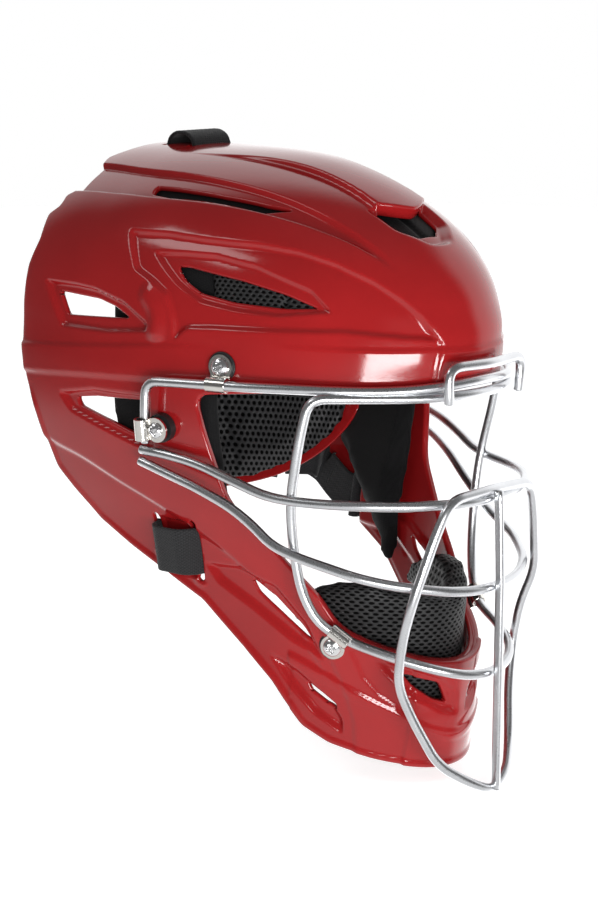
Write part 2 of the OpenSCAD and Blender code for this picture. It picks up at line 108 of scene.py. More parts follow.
def at(z, t, d=0.0):
    """A point of the family; t is 0 at the face, pi at the nape and positive on the left."""
    w, f, r = dims(z, d)
    c, s = np.cos(t), np.sin(t)
    power = np.where(c >= 0, FRONT_POW, REAR_POW)
    x = w * np.sign(s) * np.abs(s)**(2 / power)
    y = np.where(c >= 0, MID_Y - (f + MID_Y) * np.abs(c)**(2 / power),
                 MID_Y + (r - MID_Y) * np.abs(c)**(2 / power))
    return np.stack(np.broadcast_arrays(x, y, z), -1)


def angle_of(y, z, d=0.0):
    """The angle at which the family crosses a given y."""
    _, f, r = dims(z, d)
    front = np.clip((MID_Y - y) / np.maximum(MID_Y + f, 1e-6), 0, 1)**(FRONT_POW / 2)
    rear = np.clip((y - MID_Y) / np.maximum(r - MID_Y, 1e-6), 0, 1)**(REAR_POW / 2)
    return np.where(y <= MID_Y, np.arccos(front), np.arccos(-rear))


# Even steps round the shell: the girth from the face to an angle, measured at the brim.
_T = np.linspace(0, math.pi, 4001)
_BRIM = at(np.full_like(_T, BRIM_Z), _T)
_GIRTH = np.concatenate([[0], np.cumsum(np.linalg.norm(np.diff(_BRIM, axis=0), axis=1))])


def girth(y, z):
    """Distance round the shell from the face, in millimetres at the brim."""
    return np.interp(angle_of(y, z), _T, _GIRTH)


# ---------------------------------------------------------------- outlines
def rounded(points, cut, closed=False, steps=6):
    """A path whose corners are curves that start `cut` before each of them."""
    p = np.asarray(points, float)
    n = len(p)
    made = []
    for i in range(n):
        if not closed and i in (0, n - 1):
            made.append(p[i])
            continue
        a, b = p[i] - p[i - 1], p[(i + 1) % n] - p[i]
        la, lb = np.linalg.norm(a), np.linalg.norm(b)
        c = min(cut, la * 0.48, lb * 0.48)
        start, end = p[i] - a / max(la, 1e-9) * c, p[i] + b / max(lb, 1e-9) * c
        for s in np.linspace(0, 1, steps + 1):
            made.append((1 - s)**2 * start + 2 * s * (1 - s) * p[i] + s**2 * end)
    return np.array(made)


def mirrored(half):
    """An open path through the middle plane, from its half on one side."""
    half = np.asarray(half, float)
    return np.concatenate([half, half[-2::-1] * ([-1] + [1] * (half.shape[1] - 1))])


def loop_of(half):
    """A closed path from its half on one side, whose ends lie on the middle plane."""
    half = np.asarray(half, float)
    return np.concatenate([half, half[-2:0:-1] * ([-1] + [1] * (half.shape[1] - 1))])


def edge_distance(u, v, outline, closed=True):
    """Distance from each point to an outline, negative inside it."""
    pts = np.asarray(outline, float)
    ends = np.roll(pts, -1, axis=0) if closed else pts[1:]
    best = np.full(u.shape, 1e9)
    crossings = np.zeros(u.shape, bool)
    for (ax, ay), (bx, by) in zip(pts, ends):
        dx, dy = bx - ax, by - ay
        k = np.clip(((u - ax) * dx + (v - ay) * dy) / (dx * dx + dy * dy + 1e-12), 0, 1)
        best = np.minimum(best, (u - ax - k * dx)**2 + (v - ay - k * dy)**2)
        if closed and ay != by:
            crossings ^= ((ay > v) != (by > v)) & (u < dx * (v - ay) / dy + ax)
    return np.sqrt(best) * np.where(crossings, -1, 1)


def ease(x):
    """0 below 0 and 1 above 1, with a smooth rise between."""
    x = np.clip(x, 0, 1)
    return x * x * (3 - 2 * x)


def unrolled(outline, cut):
    """A side outline of (y, z) points as (girth, z), with its corners rounded."""
    pts = np.asarray(outline, float)
    return rounded(np.stack([girth(pts[:, 0], pts[:, 1]), pts[:, 1]], 1), cut, closed=True, steps=4)


# ---------------------------------------------------------------- the shell's openings
SHELL_SIDE = rounded([
    [-240, 220], [88, 220], [92, 136], [97, 131], [91, 127], [90, 116], [96, 113], [95, 108],
    [102, 103], [100, 90], [105, 76], [107, 56], [108, 34], [105, 16], [97, -2], [93, -16],
    [88, -34], [76, -46], [60, -60], [38, -71], [15, -81], [-10, -93], [-33, -114], [-50, -131],
    [-65, -153], [-78, -161], [-98, -167], [-118, -172], [-240, -176]], 2.0, closed=True, steps=3)
EYE_PORT = rounded([
    [-240, 33], [-134, 31], [-80, 27], [-24, 21], [-30, -5], [-36, -36], [-66, -69], [-78, -81],
    [-87, -97], [-102, -104], [-122, -112], [-136, -117], [-240, -121]], 8.0, closed=True)
# Side openings as (y, z) outlines, with the size of their corner curves.
SIDE_VENTS = [
    ([(-6, 85.5), (-12, 86), (-45, 81), (-68, 75.5), (-85, 69), (-70, 68), (-43, 69.5),
      (-23, 73), (-12, 79)], 3),                                                # long leaf vent
    ([(75, 65), (43, 64), (30, 61), (20, 56), (68, 53)], 2),                      # upper rear
    ([(60, 9.5), (44, 12), (10, 14), (12, -7), (33, -1), (58, 5)], 2),            # lower rear
    ([(-41, -78), (-47, -81), (-54, -85), (-61, -92), (-67, -98), (-74, -107), (-67, -103),
      (-61, -98), (-55, -93), (-50, -89), (-44, -84)], 1.5),                      # jaw, long
    ([(-69, -129.5), (-72, -130), (-78, -134), (-84, -139), (-84, -142), (-78, -139),
      (-71, -134)], 1.2),                                                         # jaw, short
]
CHIN_VENT = ([(-28, -120.5), (-13, -125.5), (-8, -137), (-15, -134.5), (-24, -127)], 2)
CROWN_SLOT = ([(65, 34), (60.5, 36), (57.5, 10), (54.5, -10), (49, -36), (44.5, -50), (53, -38),
               (60, -14), (64, 10)], 2)
LIP_Y, LIP_HALF, LIP_SWEEP = -92.0, 17.0, 10.0
STRAP_Y, STRAP_Z, STRAP_HALF, SLIT_R = (-10, 15), -66, 15, 1.9
CROWN_SLITS_Y, CROWN_SLIT_HALF, CROWN_SLIT_R = (58.2, 78), 15, 1.6


def lip_y(x):
    """The front edge of the crown's raised middle panel."""
    return LIP_Y + LIP_SWEEP * np.minimum(1.6, x / LIP_HALF)**1.5


def scoop_outline():
    """The air scoop under the panel's front edge, as (x, y)."""
    x = np.linspace(-LIP_HALF, LIP_HALF, 15)
    lip = np.stack([x, lip_y(np.abs(x))], 1)
    front = [(15, -97), (7, -104), (-7, -104), (-15, -97)]
    return rounded(np.concatenate([lip, front]), 2.5, closed=True, steps=3)


def opening(p):
    """Signed distance to what is cut away: positive inside a hole or beyond an edge."""
    x, y, z = np.abs(p[:, 0]), p[:, 1], p[:, 2]
    g = np.maximum(edge_distance(y, z, SHELL_SIDE), -edge_distance(y, z, EYE_PORT))
    s = girth(y, z)
    for outline, cut in SIDE_VENTS:
        g = np.maximum(g, -edge_distance(s, z, unrolled(outline, cut)))
    for slit_y in STRAP_Y:
        low = np.array([[slit_y, STRAP_Z - STRAP_HALF], [slit_y, STRAP_Z + STRAP_HALF]], float)
        ends = np.stack([girth(low[:, 0], low[:, 1]), low[:, 1]], 1)
        g = np.maximum(g, SLIT_R - edge_distance(s, z, ends, closed=False))
    chin = -edge_distance(x, z, rounded(CHIN_VENT[0] * np.array([-1, 1]), CHIN_VENT[1], True, 4))
    g = np.maximum(g, np.where(y < -80, chin, -50))
    top = -edge_distance(x, y, rounded(CROWN_SLOT[0], CROWN_SLOT[1], True, 4))
    top = np.maximum(top, -edge_distance(p[:, 0], y, scoop_outline()))
    for slit_y in CROWN_SLITS_Y:
        ends = [(-CROWN_SLIT_HALF, slit_y), (CROWN_SLIT_HALF, slit_y)]
        top = np.maximum(top, CROWN_SLIT_R - edge_distance(p[:, 0], y, ends, closed=False))
    return np.maximum(g, np.where(z > 60, top, -50))


# ---------------------------------------------------------------- the shell's relief
# Recesses and raised fields of the side: outline in (y, z), height, width of the wall.
SIDE_FIELDS = [
    # the long recess that runs forward from the fin to the brow
    ([(31, 100.5), (5, 101), (-21, 99.5), (-48, 98.5), (-68, 96), (-86, 91), (-104, 83),
      (-117, 74), (-126, 64), (-131, 53), (-124, 54), (-98, 57), (-74, 56), (-33, 55),
      (-19, 54), (-11, 47), (-9, 60), (-4, 70), (6, 76), (18, 81)], -2.6, 2.6),
    # round the long leaf vent
    ([(11, 92), (-8, 93), (-26, 93), (-50, 89), (-80, 78.5), (-92, 67), (-66, 63.5),
      (-44, 65), (-24, 68), (-9, 76), (3, 85)], -2.4, 2.2),
    # round the upper rear vent
    ([(86, 70.5), (60, 71), (43, 70), (22, 65), (5, 55), (6, 50), (35, 47), (70, 46.5)], -3.0, 2.6),
    # round the lower rear vent
    ([(73, 11.5), (44, 17), (3, 18), (4, -14), (34, -6), (64, 2)], -2.6, 2.4),
    # the channel of the long jaw slot and the hollow of the short one
    ([(-12, -71), (-34, -70), (-56, -77), (-72, -96), (-80, -116), (-62, -108), (-40, -93),
      (-20, -82)], -2.6, 4.2),
    ([(-48, -115), (-64, -122), (-80, -134), (-87, -147), (-86, -156), (-72, -146),
      (-58, -130)], -3.0, 3.2),
    # the pocket behind the jaw strap
    ([(13, -50), (-8, -50), (-8, -82), (13, -82)], -2.2, 2.5),
]
# The rolled edge of the fin, along the rear end of the long recess, as (girth, z).
FIN_ROLL = rounded([(float(girth(y, z)), z) for y, z in
                    [(6, 69), (1, 64), (-1, 58), (0, 51)]], 4, steps=4)
# Lines of the side as (y, z): the two edges of the belt round the middle, and the jaw's crease.
BELT_TOP = [(120, 35), (108, 35), (35, 42), (-11, 46.5), (-44, 47), (-74, 47), (-134, 45)]
BELT_LOW = [(120, 16), (106, 17), (51, 22), (5, 25), (-30, 27)]
CREASE = [(110, -8), (89, -16), (62, -22), (36, -31), (12, -40), (-8, -50), (-26, -60),
          (-44, -74), (-60, -92), (-84, -128)]


def side_line(points, s):
    """Height of a side line at each distance round the shell."""
    pts = np.array(sorted((float(girth(y, z)), z) for y, z in points))
    return hermite(s, pts[:, 0], pts[:, 1])


def crown_line(points, y):
    """Distance of a crown line from the middle plane at each y."""
    pts = np.array(sorted((b, a) for a, b in points), float)
    return hermite(y, pts[:, 0], pts[:, 1])


# Crown lines as (x, y): the middle panel's edge, and the two edges of the slot's channel.
PANEL_EDGE = [(32, 70), (26, 21), (20.5, -9), (17, -38), (16.5, -59), (17.5, -82), (19, -96)]
CHANNEL_IN = [(48, 110), (49, 93), (52, 51), (50, 20), (47, -9), (43.5, -37), (40, -64),
              (37, -84), (31, -113)]
CHANNEL_OUT = [(69, 110), (69, 94), (68, 34), (61.5, -8), (53, -45), (46, -70), (40, -88),
               (32, -113)]


def relief(p):
    """How far the moulded surface stands out from the family's own."""
    x, y, z = np.abs(p[:, 0]), p[:, 1], p[:, 2]
    s = girth(y, z)
    h = np.zeros(len(p))
    for outline, height, wall in SIDE_FIELDS:
        d = edge_distance(s, z, unrolled(outline, 2.5))
        h += height * ease(-d / wall)
    # the fin's rolled edge, behind the long recess
    roll = edge_distance(s, z, FIN_ROLL, closed=False)
    h += 1.8 * np.cos(np.pi / 2 * np.clip(roll / 8.0, 0, 1))**2
    # belt round the middle, and the crease along the jaw
    belt = ease((side_line(BELT_TOP, s) - z) / 2.4) * ease((z - side_line(BELT_LOW, s)) / 2.4)
    h += 1.2 * belt * ease((y + 40) / 60)
    jaw = ease((side_line(CREASE, s) - z) / 5) * ease((z + 150) / 40)
    h -= 1.4 * jaw * ease((y + 95) / 30)
    # the brow's low band, and the raised middle that stands between its two ends
    h += 1.0 * ease((-y - 60) / 50) * ease((50.5 - z) / 1.8)
    middle_x = np.interp(z, [40, 52, 62, 70], [23.5, 22, 30, 36])
    h += 1.5 * ease((middle_x - x) / 1.8 + 0.5) * ease((70 - z) / 16) * (y < -90)
    # the front of the jaw: a seam, a shallow step and the hollow of the chin vent
    chin = (y < -60) & (z < -95)
    seam_x = np.interp(z, [-170, -147, -130, -117, -104], [39, 42, 45.5, 49, 52])
    step_x = np.interp(z, [-150, -137, -131, -122, -108], [20, 30, 36, 41, 45])
    h += chin * 1.3 * ease((seam_x - x) / 2.0)
    h -= chin * 0.8 * ease((step_x - x) / 1.9) * ease((z + 146) / 8)
    hollow = rounded([(38, -111), (35, -119), (27, -131), (12, -141), (2, -144), (3, -130),
                      (10, -122), (25, -115)], 3, True, 4)
    h -= chin * 2.4 * ease(-edge_distance(x, z, hollow) / 3.5)
    ridge_z = -151 + 7.5 * (x / 21)**1.6
    h += chin * (x < 60) * 1.0 * (ease((ridge_z - z) / 2.5) - ease((ridge_z - 5 - z) / 3.0) * 0.5)
    # the crown: middle panel, scoop and slot channels
    dome = ease((z - 62) / 10)
    panel = 1 - ease((x - crown_line(PANEL_EDGE, y)) / 2.0 + 0.5)
    behind_lip = ease((y - lip_y(x) + 2.4) / 2.4)
    rise = 3.6 * ease((50 - y) / 90)
    h += dome * rise * panel * behind_lip
    scoop = rounded(mirrored([(22, -78), (20, -98), (8, -112.5), (0, -114)]), 4, True, 4)
    h -= dome * 4.2 * ease(-edge_distance(p[:, 0], y, scoop) / 4.5) * (1 - behind_lip)
    channel = (ease((x - crown_line(CHANNEL_IN, y)) / 1.8 + 0.5)
               - ease((x - crown_line(CHANNEL_OUT, y)) / 2.0 + 0.5))
    h -= dome * 3.0 * np.maximum(0, channel) * ease((y + 112) / 30)
    return h


def rim_bead(p, g):
    """A soft bead along the lower and rear edges and the lower edge of the eye port."""
    y, z = p[:, 1], p[:, 2]
    low = np.clip((10 - z) / 10, 0, 1)
    return 0.9 * low * ease(1 + (g + 2.0) / 2.5) * (edge_distance(y, z, SHELL_SIDE) > -9)


# ---------------------------------------------------------------- mesh helpers
def mesh_object(name, points, faces, smooth=True):
    """A new object from points in millimetres and faces."""
    mesh = bpy.data.meshes.new(name)
    mesh.from_pydata((np.asarray(points) * MM).tolist(), [], faces)
    mesh.polygons.foreach_set("use_smooth", [smooth] * len(mesh.polygons))
    mesh.update()
    made = bpy.data.objects.new(name, mesh)
    bpy.context.scene.collection.objects.link(made)
    return made


def faced_out(obj):
    """Turns every face's normal outward."""
    graph = bmesh.new()
    graph.from_mesh(obj.data)
    bmesh.ops.recalc_face_normals(graph, faces=graph.faces)
    graph.to_mesh(obj.data)
    graph.free()
    return obj


def grid_faces(rows, cols):
    """Faces of two grids of points laid back to back, and the point numbers of one's rim."""
    n = rows * cols
    faces = []
    for i in range(rows - 1):
        for j in range(cols - 1):
            q = (i * cols + j, i * cols + j + 1, (i + 1) * cols + j + 1, (i + 1) * cols + j)
            faces += [q, tuple(v + n for v in reversed(q))]
    rim = ([j for j in range(cols)] + [i * cols + cols - 1 for i in range(1, rows)]
           + [(rows - 1) * cols + j for j in range(cols - 2, -1, -1)]
           + [i * cols for i in range(rows - 2, 0, -1)])
    return faces, np.array(rim)


def ring_faces(near, far):
    """Faces between two rings of point numbers."""
    quads = np.stack([np.roll(near, -1), near, far, np.roll(far, -1)], 1)
    return [tuple(q) for q in quads.tolist()]


def tube_faces(rings, sides, base=0):
    """Faces over stacked rings of points, with a cap on each end."""
    faces = [(base + k * sides + q, base + k * sides + (q + 1) % sides,
              base + (k + 1) * sides + (q + 1) % sides, base + (k + 1) * sides + q)
             for k in range(rings - 1) for q in range(sides)]
    last = base + (rings - 1) * sides
    return faces + [tuple(range(base + sides - 1, base - 1, -1)), tuple(range(last, last + sides))]


def unit(v):
    """Vectors made one long."""
    v = np.asarray(v, float)
    return v / np.maximum(np.linalg.norm(v, axis=-1, keepdims=True), 1e-12)


def blur(grid, passes):
    """Evens out a grid of points round its closed rows, and along its columns short of the ends."""
    for _ in range(passes):
        grid = (np.roll(grid, 1, 1) + 2 * grid + np.roll(grid, -1, 1)) / 4
        inner = (grid[:-2] + 2 * grid[1:-1] + grid[2:]) / 4
        grid = np.concatenate([grid[:1], inner, grid[-1:]])
    return grid


# ---------------------------------------------------------------- the moulded shell
RIM_R = 1.1
BLUR_REACH = 14.0
THINNEST, THICKEST = 3.0, 6.3


def dome_heights(pitch):
    """Heights of the dome's rows, so that no row is further than pitch from the next."""
    z = CROWN_Z - (CROWN_Z - BRIM_Z) * np.linspace(1, 0, 4001)**4
    z[0] = BRIM_Z + 1e-6
    profiles = np.stack([at(z, np.full_like(z, t)) for t in (0, math.pi / 2, math.pi * 0.999)])
    steps = np.linalg.norm(np.diff(profiles, axis=1), axis=-1).max(0)
    run = np.concatenate([[0], np.cumsum(steps)])
    even = np.linspace(0, run[-1], int(run[-1] / pitch) + 2)
    even[-1] -= 0.25
    return np.interp(even, run, z)


def shell_grid(pitch):
    """Base points and normals of the shell on an even grid of rows and columns."""
    around = int(round(2 * _GIRTH[-1] / pitch / 2)) * 2
    half = np.interp(np.linspace(0, _GIRTH[-1], around // 2 + 1), _GIRTH, _T)
    t = np.concatenate([half, -half[-2:0:-1]])
    low = np.arange(FLOOR_Z, BRIM_Z, pitch)
    z = np.concatenate([low, dome_heights(pitch)])
    grid = at(np.repeat(z[:, None], len(t), 1), t[None, :])
    even = blur(grid, int(BLUR_REACH / pitch))
    short_of_top = ease((CROWN_Z - 1.5 - z) / 3)[:, None, None]
    grid = grid + (even - grid) * short_of_top
    along = np.roll(grid, -1, 1) - np.roll(grid, 1, 1)
    up = np.gradient(grid, axis=0)
    normal = unit(np.cross(along, up))
    return grid, normal


def clipped(grid, normal, limit):
    """The grid's faces where opening() is under limit, cut along its edge."""
    rows, cols, _ = grid.shape
    base, norm = grid.reshape(-1, 3), normal.reshape(-1, 3)
    top = np.array([[0, MID_Y, CROWN_Z]])
    base, norm = np.concatenate([base, top]), np.concatenate([norm, [[0, 0, 1]]])
    g = opening(base) - limit
    g[np.abs(g) < 1e-6] = 1e-6
    keep = g < 0
    i, j = np.meshgrid(np.arange(rows - 1), np.arange(cols), indexing="ij")
    a = i * cols + j
    b = i * cols + (j + 1) % cols
    quads = np.stack([a, b, b + cols, a + cols], -1).reshape(-1, 4)
    last = (rows - 1) * cols
    fan = [(last + k, last + (k + 1) % cols, rows * cols) for k in range(cols)]
    count = keep[quads].sum(1)
    faces = [tuple(q) for q in quads[count == 4].tolist()]
    faces += [f for f in fan if all(keep[list(f)])]
    cut, new_ends, rim = {}, [], []

    def crossing(m, n):
        key = (m, n) if m < n else (n, m)
        if key not in cut:
            cut[key] = len(base) + len(new_ends)
            new_ends.append(key)
        return cut[key]

    for q in quads[(count > 0) & (count < 4)].tolist():
        face, leaves = [], []
        for m, n in zip(q, q[1:] + q[:1]):
            if keep[m]:
                face.append(m)
            if keep[m] != keep[n]:
                v = crossing(m, n)
                face.append(v)
                leaves.append((v, bool(keep[m])))
        faces.append(tuple(face))
        for k, (v, leaving) in enumerate(leaves):
            if leaving:
                rim.append((v, leaves[(k + 1) % len(leaves)][0]))
    ends = np.array(new_ends)
    k = (g[ends[:, 0]] / (g[ends[:, 0]] - g[ends[:, 1]]))[:, None]
    base = np.concatenate([base, base[ends[:, 0]] * (1 - k) + base[ends[:, 1]] * k])
    norm = np.concatenate([norm, unit(norm[ends[:, 0]] * (1 - k) + norm[ends[:, 1]] * k)])
    return base, norm, faces, rim


def loops_of(rim):
    """Closed runs of vertices from directed rim edges."""
    following = dict(rim)
    loops = []
    while following:
        start, nxt = next(iter(following.items()))
        run = [start]
        del following[start]
        while nxt != start:
            run.append(nxt)
            nxt = following.pop(nxt)
        loops.append(run)
    return loops


def outward(points, normals):
    """Unit directions, in the surface, from the kept side of a rim loop into its opening."""
    ahead = np.roll(points, -1, 0) - points
    out = np.cross(ahead, normals)
    out = out + np.roll(out, 1, 0)
    for _ in range(3):
        out = (np.roll(out, 1, 0) + 2 * out + np.roll(out, -1, 0)) / 4
    return unit(out - (out * normals).sum(1, keepdims=True) * normals)


def build_shell(name, pitch):
    """The moulded wall: outer face with its relief, inner face, and rounded edges between."""
    grid, normal = shell_grid(pitch)
    base, norm, faces, rim = clipped(grid, normal, -RIM_R)
    g = opening(base)
    h = relief(base) + rim_bead(base, g)
    outer = base + norm * h[:, None]
    depth = np.clip(np.maximum(WALL, THINNEST - h), 0, THICKEST)
    inner = base - norm * depth[:, None]
    used = np.unique(np.concatenate([np.array(f) for f in faces]))
    new_index = np.full(len(base), -1)
    new_index[used] = np.arange(len(used))
    outer, inner = outer[used], inner[used]
    norm_used = norm[used]
    n = len(used)
    made = [tuple(int(new_index[v]) for v in f) for f in faces]
    points = [outer, inner]
    all_faces = made + [tuple(v + n for v in reversed(f)) for f in made]
    total = 2 * n
    for run in loops_of(rim):
        ids = new_index[np.array(run)]
        o, i, nn = outer[ids], inner[ids], norm_used[ids]
        out = outward(o, nn)
        rings = [ids]
        for edge, inward, angles in ((o, -nn, (30, 60, 90)), (i, nn, (90, 45))):
            for a in np.radians(angles):
                points.append(edge + out * RIM_R * math.sin(a) + inward * RIM_R * (1 - math.cos(a)))
                rings.append(np.arange(len(ids)) + total)
                total += len(ids)
        rings.append(ids + n)
        for near, far in zip(rings, rings[1:]):
            all_faces += ring_faces(near, far)
    return mesh_object(name, np.concatenate(points), all_faces)


# ---------------------------------------------------------------- cage wires
WIRE_R = 2.5
BROW_BAR = [[-99, 2, -6], [-101, 0, 10], [-101, -1, 27], [-92, -37, 28.5], [-84, -59, 29],
            [-73, -82, 29.5], [-62, -100, 29.5], [-50, -114, 29.5], [-38, -125, 30],
            [-22, -135, 31.5], [0, -140, 33]]
EYE_RING = [[0, -139, 26], [-22, -135, 26], [-38, -125, 26], [-50, -113, 26], [-60, -103, 26],
            [-73, -90, 26], [-74.5, -85, 5], [-73, -77, -28], [-70, -76, -52], [-66, -78, -76],
            [-60, -84, -93], [-50, -97, -102], [-41, -119, -107.5], [-30, -136, -112],
            [-17, -145, -116], [0, -148, -118]]
UPPER_BAR = [[-99, 6, -10], [-95, -11, -11], [-91, -30, -13.5], [-87, -47, -19], [-80, -67, -26],
             [-74, -84, -27], [-66, -104, -26.5], [-56, -120, -26], [-45, -132, -26],
             [-32, -140, -26], [-17, -145, -26.5], [0, -146, -27]]
LOWER_BAR = [[-99, 7, -16], [-95, -10, -21], [-91, -28, -26], [-85, -46, -34], [-81, -58, -42],
             [-79, -70, -51], [-73, -83, -56], [-61, -111, -63], [-52, -123, -66],
             [-42, -134, -68], [-28, -143, -70.5], [-14, -147, -72], [0, -148, -72.5]]
GUARD_LOOP = [[0, -148, -21.5], [-31, -146, -23], [-38, -143, -40], [-48, -137, -74],
              [-46, -129, -95], [-45, -125, -119], [-38, -129, -138], [-28, -138, -163],
              [-14, -148.5, -173.5], [0, -151.5, -180]]
BROW_LOOP = [[-26.5, -140.5, 23.5], [-28, -141, 42], [0, -146, 42]]
WIRES = {
    "brow_bar": rounded(mirrored(BROW_BAR), 9),
    "eye_ring": rounded(loop_of(EYE_RING), 11, closed=True),
    "upper_cheek_bar": rounded(mirrored(UPPER_BAR), 12),
    "lower_cheek_bar": rounded(mirrored(LOWER_BAR), 12),
    "front_guard_loop": rounded(loop_of(GUARD_LOOP), 9, closed=True),
    "brow_guard_loop": rounded(mirrored(BROW_LOOP), 8),
}
CLOSED = ("eye_ring", "front_guard_loop")
# How far from a wire's end, and how much under its radius, the rounding of the end passes.
END_ROUNDING = [(0.0, 0.7), (0.25, 0.2)]
END_FULL = 0.7


def tube(name, path, radius, closed=False, sides=20):
    """A round wire along a path, with softly rounded ends."""
    path = np.asarray(path, float)
    keep = [0]
    for k in range(1, len(path)):
        if np.linalg.norm(path[k] - path[keep[-1]]) > 0.05:
            keep.append(k)
    path = path[keep]
    if closed and np.linalg.norm(path[0] - path[-1]) < 0.05:
        path = path[:-1]
    n = len(path)
    radii = np.full(n, radius)
    if not closed:
        first, last = unit(path[1] - path[0]), unit(path[-1] - path[-2])
        reaches = [reach for reach, _ in END_ROUNDING] + [END_FULL]
        lead = [path[0] + first * reach for reach in reaches]
        tail = [path[-1] - last * reach for reach in reversed(reaches)]
        path = np.concatenate([lead, path[1:-1], tail])
        small = [radius - less for _, less in END_ROUNDING]
        radii = np.concatenate([small, np.full(n, radius), small[::-1]])
        n = len(path)
    if closed:
        tangent = unit(np.roll(path, -1, 0) - np.roll(path, 1, 0))
    else:
        tangent = unit(np.gradient(path, axis=0))
    side = np.zeros_like(path)
    side[0] = unit(np.cross(tangent[0], [0.13, 0.21, 0.97]))
    for k in range(1, n):
        s = side[k - 1] - tangent[k] * (side[k - 1] @ tangent[k])
        side[k] = unit(s)
    turn = 0.0
    if closed:
        end = unit(side[-1] - tangent[0] * (side[-1] @ tangent[0]))
        turn = math.atan2(np.cross(end, side[0]) @ tangent[0], end @ side[0])
    lift = np.cross(side, tangent)
    points = []
    for k in range(n):
        a = (2 * np.pi * np.arange(sides) / sides - turn * k / n)[:, None]
        points.append(path[k] + radii[k] * (np.cos(a) * side[k] + np.sin(a) * lift[k]))
    faces = []
    for k in range(n if closed else n - 1):
        m = (k + 1) % n
        for q in range(sides):
            r = (q + 1) % sides
            faces.append((k * sides + r, k * sides + q, m * sides + q, m * sides + r))
    if not closed:
        faces.append(tuple(range(sides)))
        faces.append(tuple((n - 1) * sides + q for q in range(sides - 1, -1, -1)))
    return mesh_object(name, np.concatenate(points), faces)


# ---------------------------------------------------------------- materials
def material(name):
    """A new material with its node tree and shader."""
    mat = bpy.data.materials.new(name)
    mat.use_nodes = True
    tree = mat.node_tree
    return mat, tree, tree.nodes["Principled BSDF"]


def node(tree, kind, **values):
    """A new node; each value goes to the socket or the setting of that name."""
    made = tree.nodes.new(kind)
    for key, value in values.items():
        if key in made.inputs:
            made.inputs[key].default_value = value
        else:
            setattr(made, key, value)
    return made


def noise_of(tree, scale, detail=4.0, rough=0.5, stretch=None):
    """Noise over the object, whose scale is in cells to the metre."""
    coords = node(tree, "ShaderNodeTexCoord").outputs["Object"]
    if stretch:
        mapping = node(tree, "ShaderNodeMapping", Scale=stretch)
        tree.links.new(coords, mapping.inputs["Vector"])
        coords = mapping.outputs["Vector"]
    made = node(tree, "ShaderNodeTexNoise", Scale=scale, Detail=detail, Roughness=rough)
    tree.links.new(coords, made.inputs["Vector"])
    return made.outputs["Fac"]


def ramp_of(tree, source, stops):
    """The source as a colour or a grey; stops are (place, colour or level)."""
    made = node(tree, "ShaderNodeValToRGB")
    elements = made.color_ramp.elements
    while len(elements) < len(stops):
        elements.new(0.5)
    for e, (place, colour) in zip(elements, stops):
        e.position = place
        e.color = (*colour, 1) if hasattr(colour, "__len__") else (colour, colour, colour, 1)
    tree.links.new(source, made.inputs["Fac"])
    return made.outputs["Color"]


def bump_of(tree, source, strength, distance, under=None):
    """A normal bumped by the source, on top of another bump if one is given."""
    made = node(tree, "ShaderNodeBump", Strength=strength, Distance=distance)
    tree.links.new(source, made.inputs["Height"])
    if under is not None:
        tree.links.new(under, made.inputs["Normal"])
    return made.outputs["Normal"]


def feed(shader, socket, source):
    """Links a source to one of the shader's sockets."""
    shader.id_data.links.new(source, shader.inputs[socket])


def maths(tree, operation, *sources):
    """The result of a maths operation on sockets and numbers."""
    made = node(tree, "ShaderNodeMath", operation=operation)
    for k, source in enumerate(sources):
        if isinstance(source, (int, float)):
            made.inputs[k].default_value = source
        else:
            tree.links.new(source, made.inputs[k])
    return made.outputs["Value"]


def dot(tree, source, way):
    """How far the source vector reaches along a way."""
    made = node(tree, "ShaderNodeVectorMath", operation="DOT_PRODUCT")
    tree.links.new(source, made.inputs[0])
    made.inputs[1].default_value = way
    return made.outputs["Value"]


def fade(tree, source, start, end, low=0.0, high=1.0, kind="SMOOTHSTEP"):
    """Goes from low to high as the source goes from start to end."""
    made = node(tree, "ShaderNodeMapRange", interpolation_type=kind)
    for socket, value in (("From Min", start), ("From Max", end), ("To Min", low), ("To Max", high)):
        made.inputs[socket].default_value = value
    tree.links.new(source, made.inputs["Value"])
    return made.outputs["Result"]


def waves(tree, ways):
    """The sum of cosine waves over the cloth; each way is its wave vector, per millimetre."""
    place = node(tree, "ShaderNodeAttribute", attribute_name="weave").outputs["Vector"]
    total = None
    for u, v in ways:
        wave = maths(tree, "COSINE", dot(tree, place, (2 * math.pi * u, 2 * math.pi * v, 0)))
        total = wave if total is None else maths(tree, "ADD", total, wave)
    return total


def red_plastic():
    """Gloss-moulded shell: deep red, a faint flow cloud, and fine rub marks in its polish."""
    mat, tree, shader = material("red_plastic")
    colour = ramp_of(tree, noise_of(tree, 18), [(0.3, (0.200, 0.0062, 0.0070)),
                                                (0.7, (0.235, 0.0075, 0.0084))])
    feed(shader, "Base Color", colour)
    rubs = maths(tree, "ADD", maths(tree, "MULTIPLY", noise_of(tree, 700, 3), 0.6),
                 maths(tree, "MULTIPLY", noise_of(tree, 160, 5, 0.7, (1, 1, 9)), 0.4))
    feed(shader, "Roughness", ramp_of(tree, rubs, [(0.35, 0.095), (0.65, 0.15)]))
    normal = bump_of(tree, noise_of(tree, 210, 1), 0.035, 0.0006)
    feed(shader, "Normal", bump_of(tree, noise_of(tree, 1400, 2), 0.02, 0.0001, normal))
    return mat


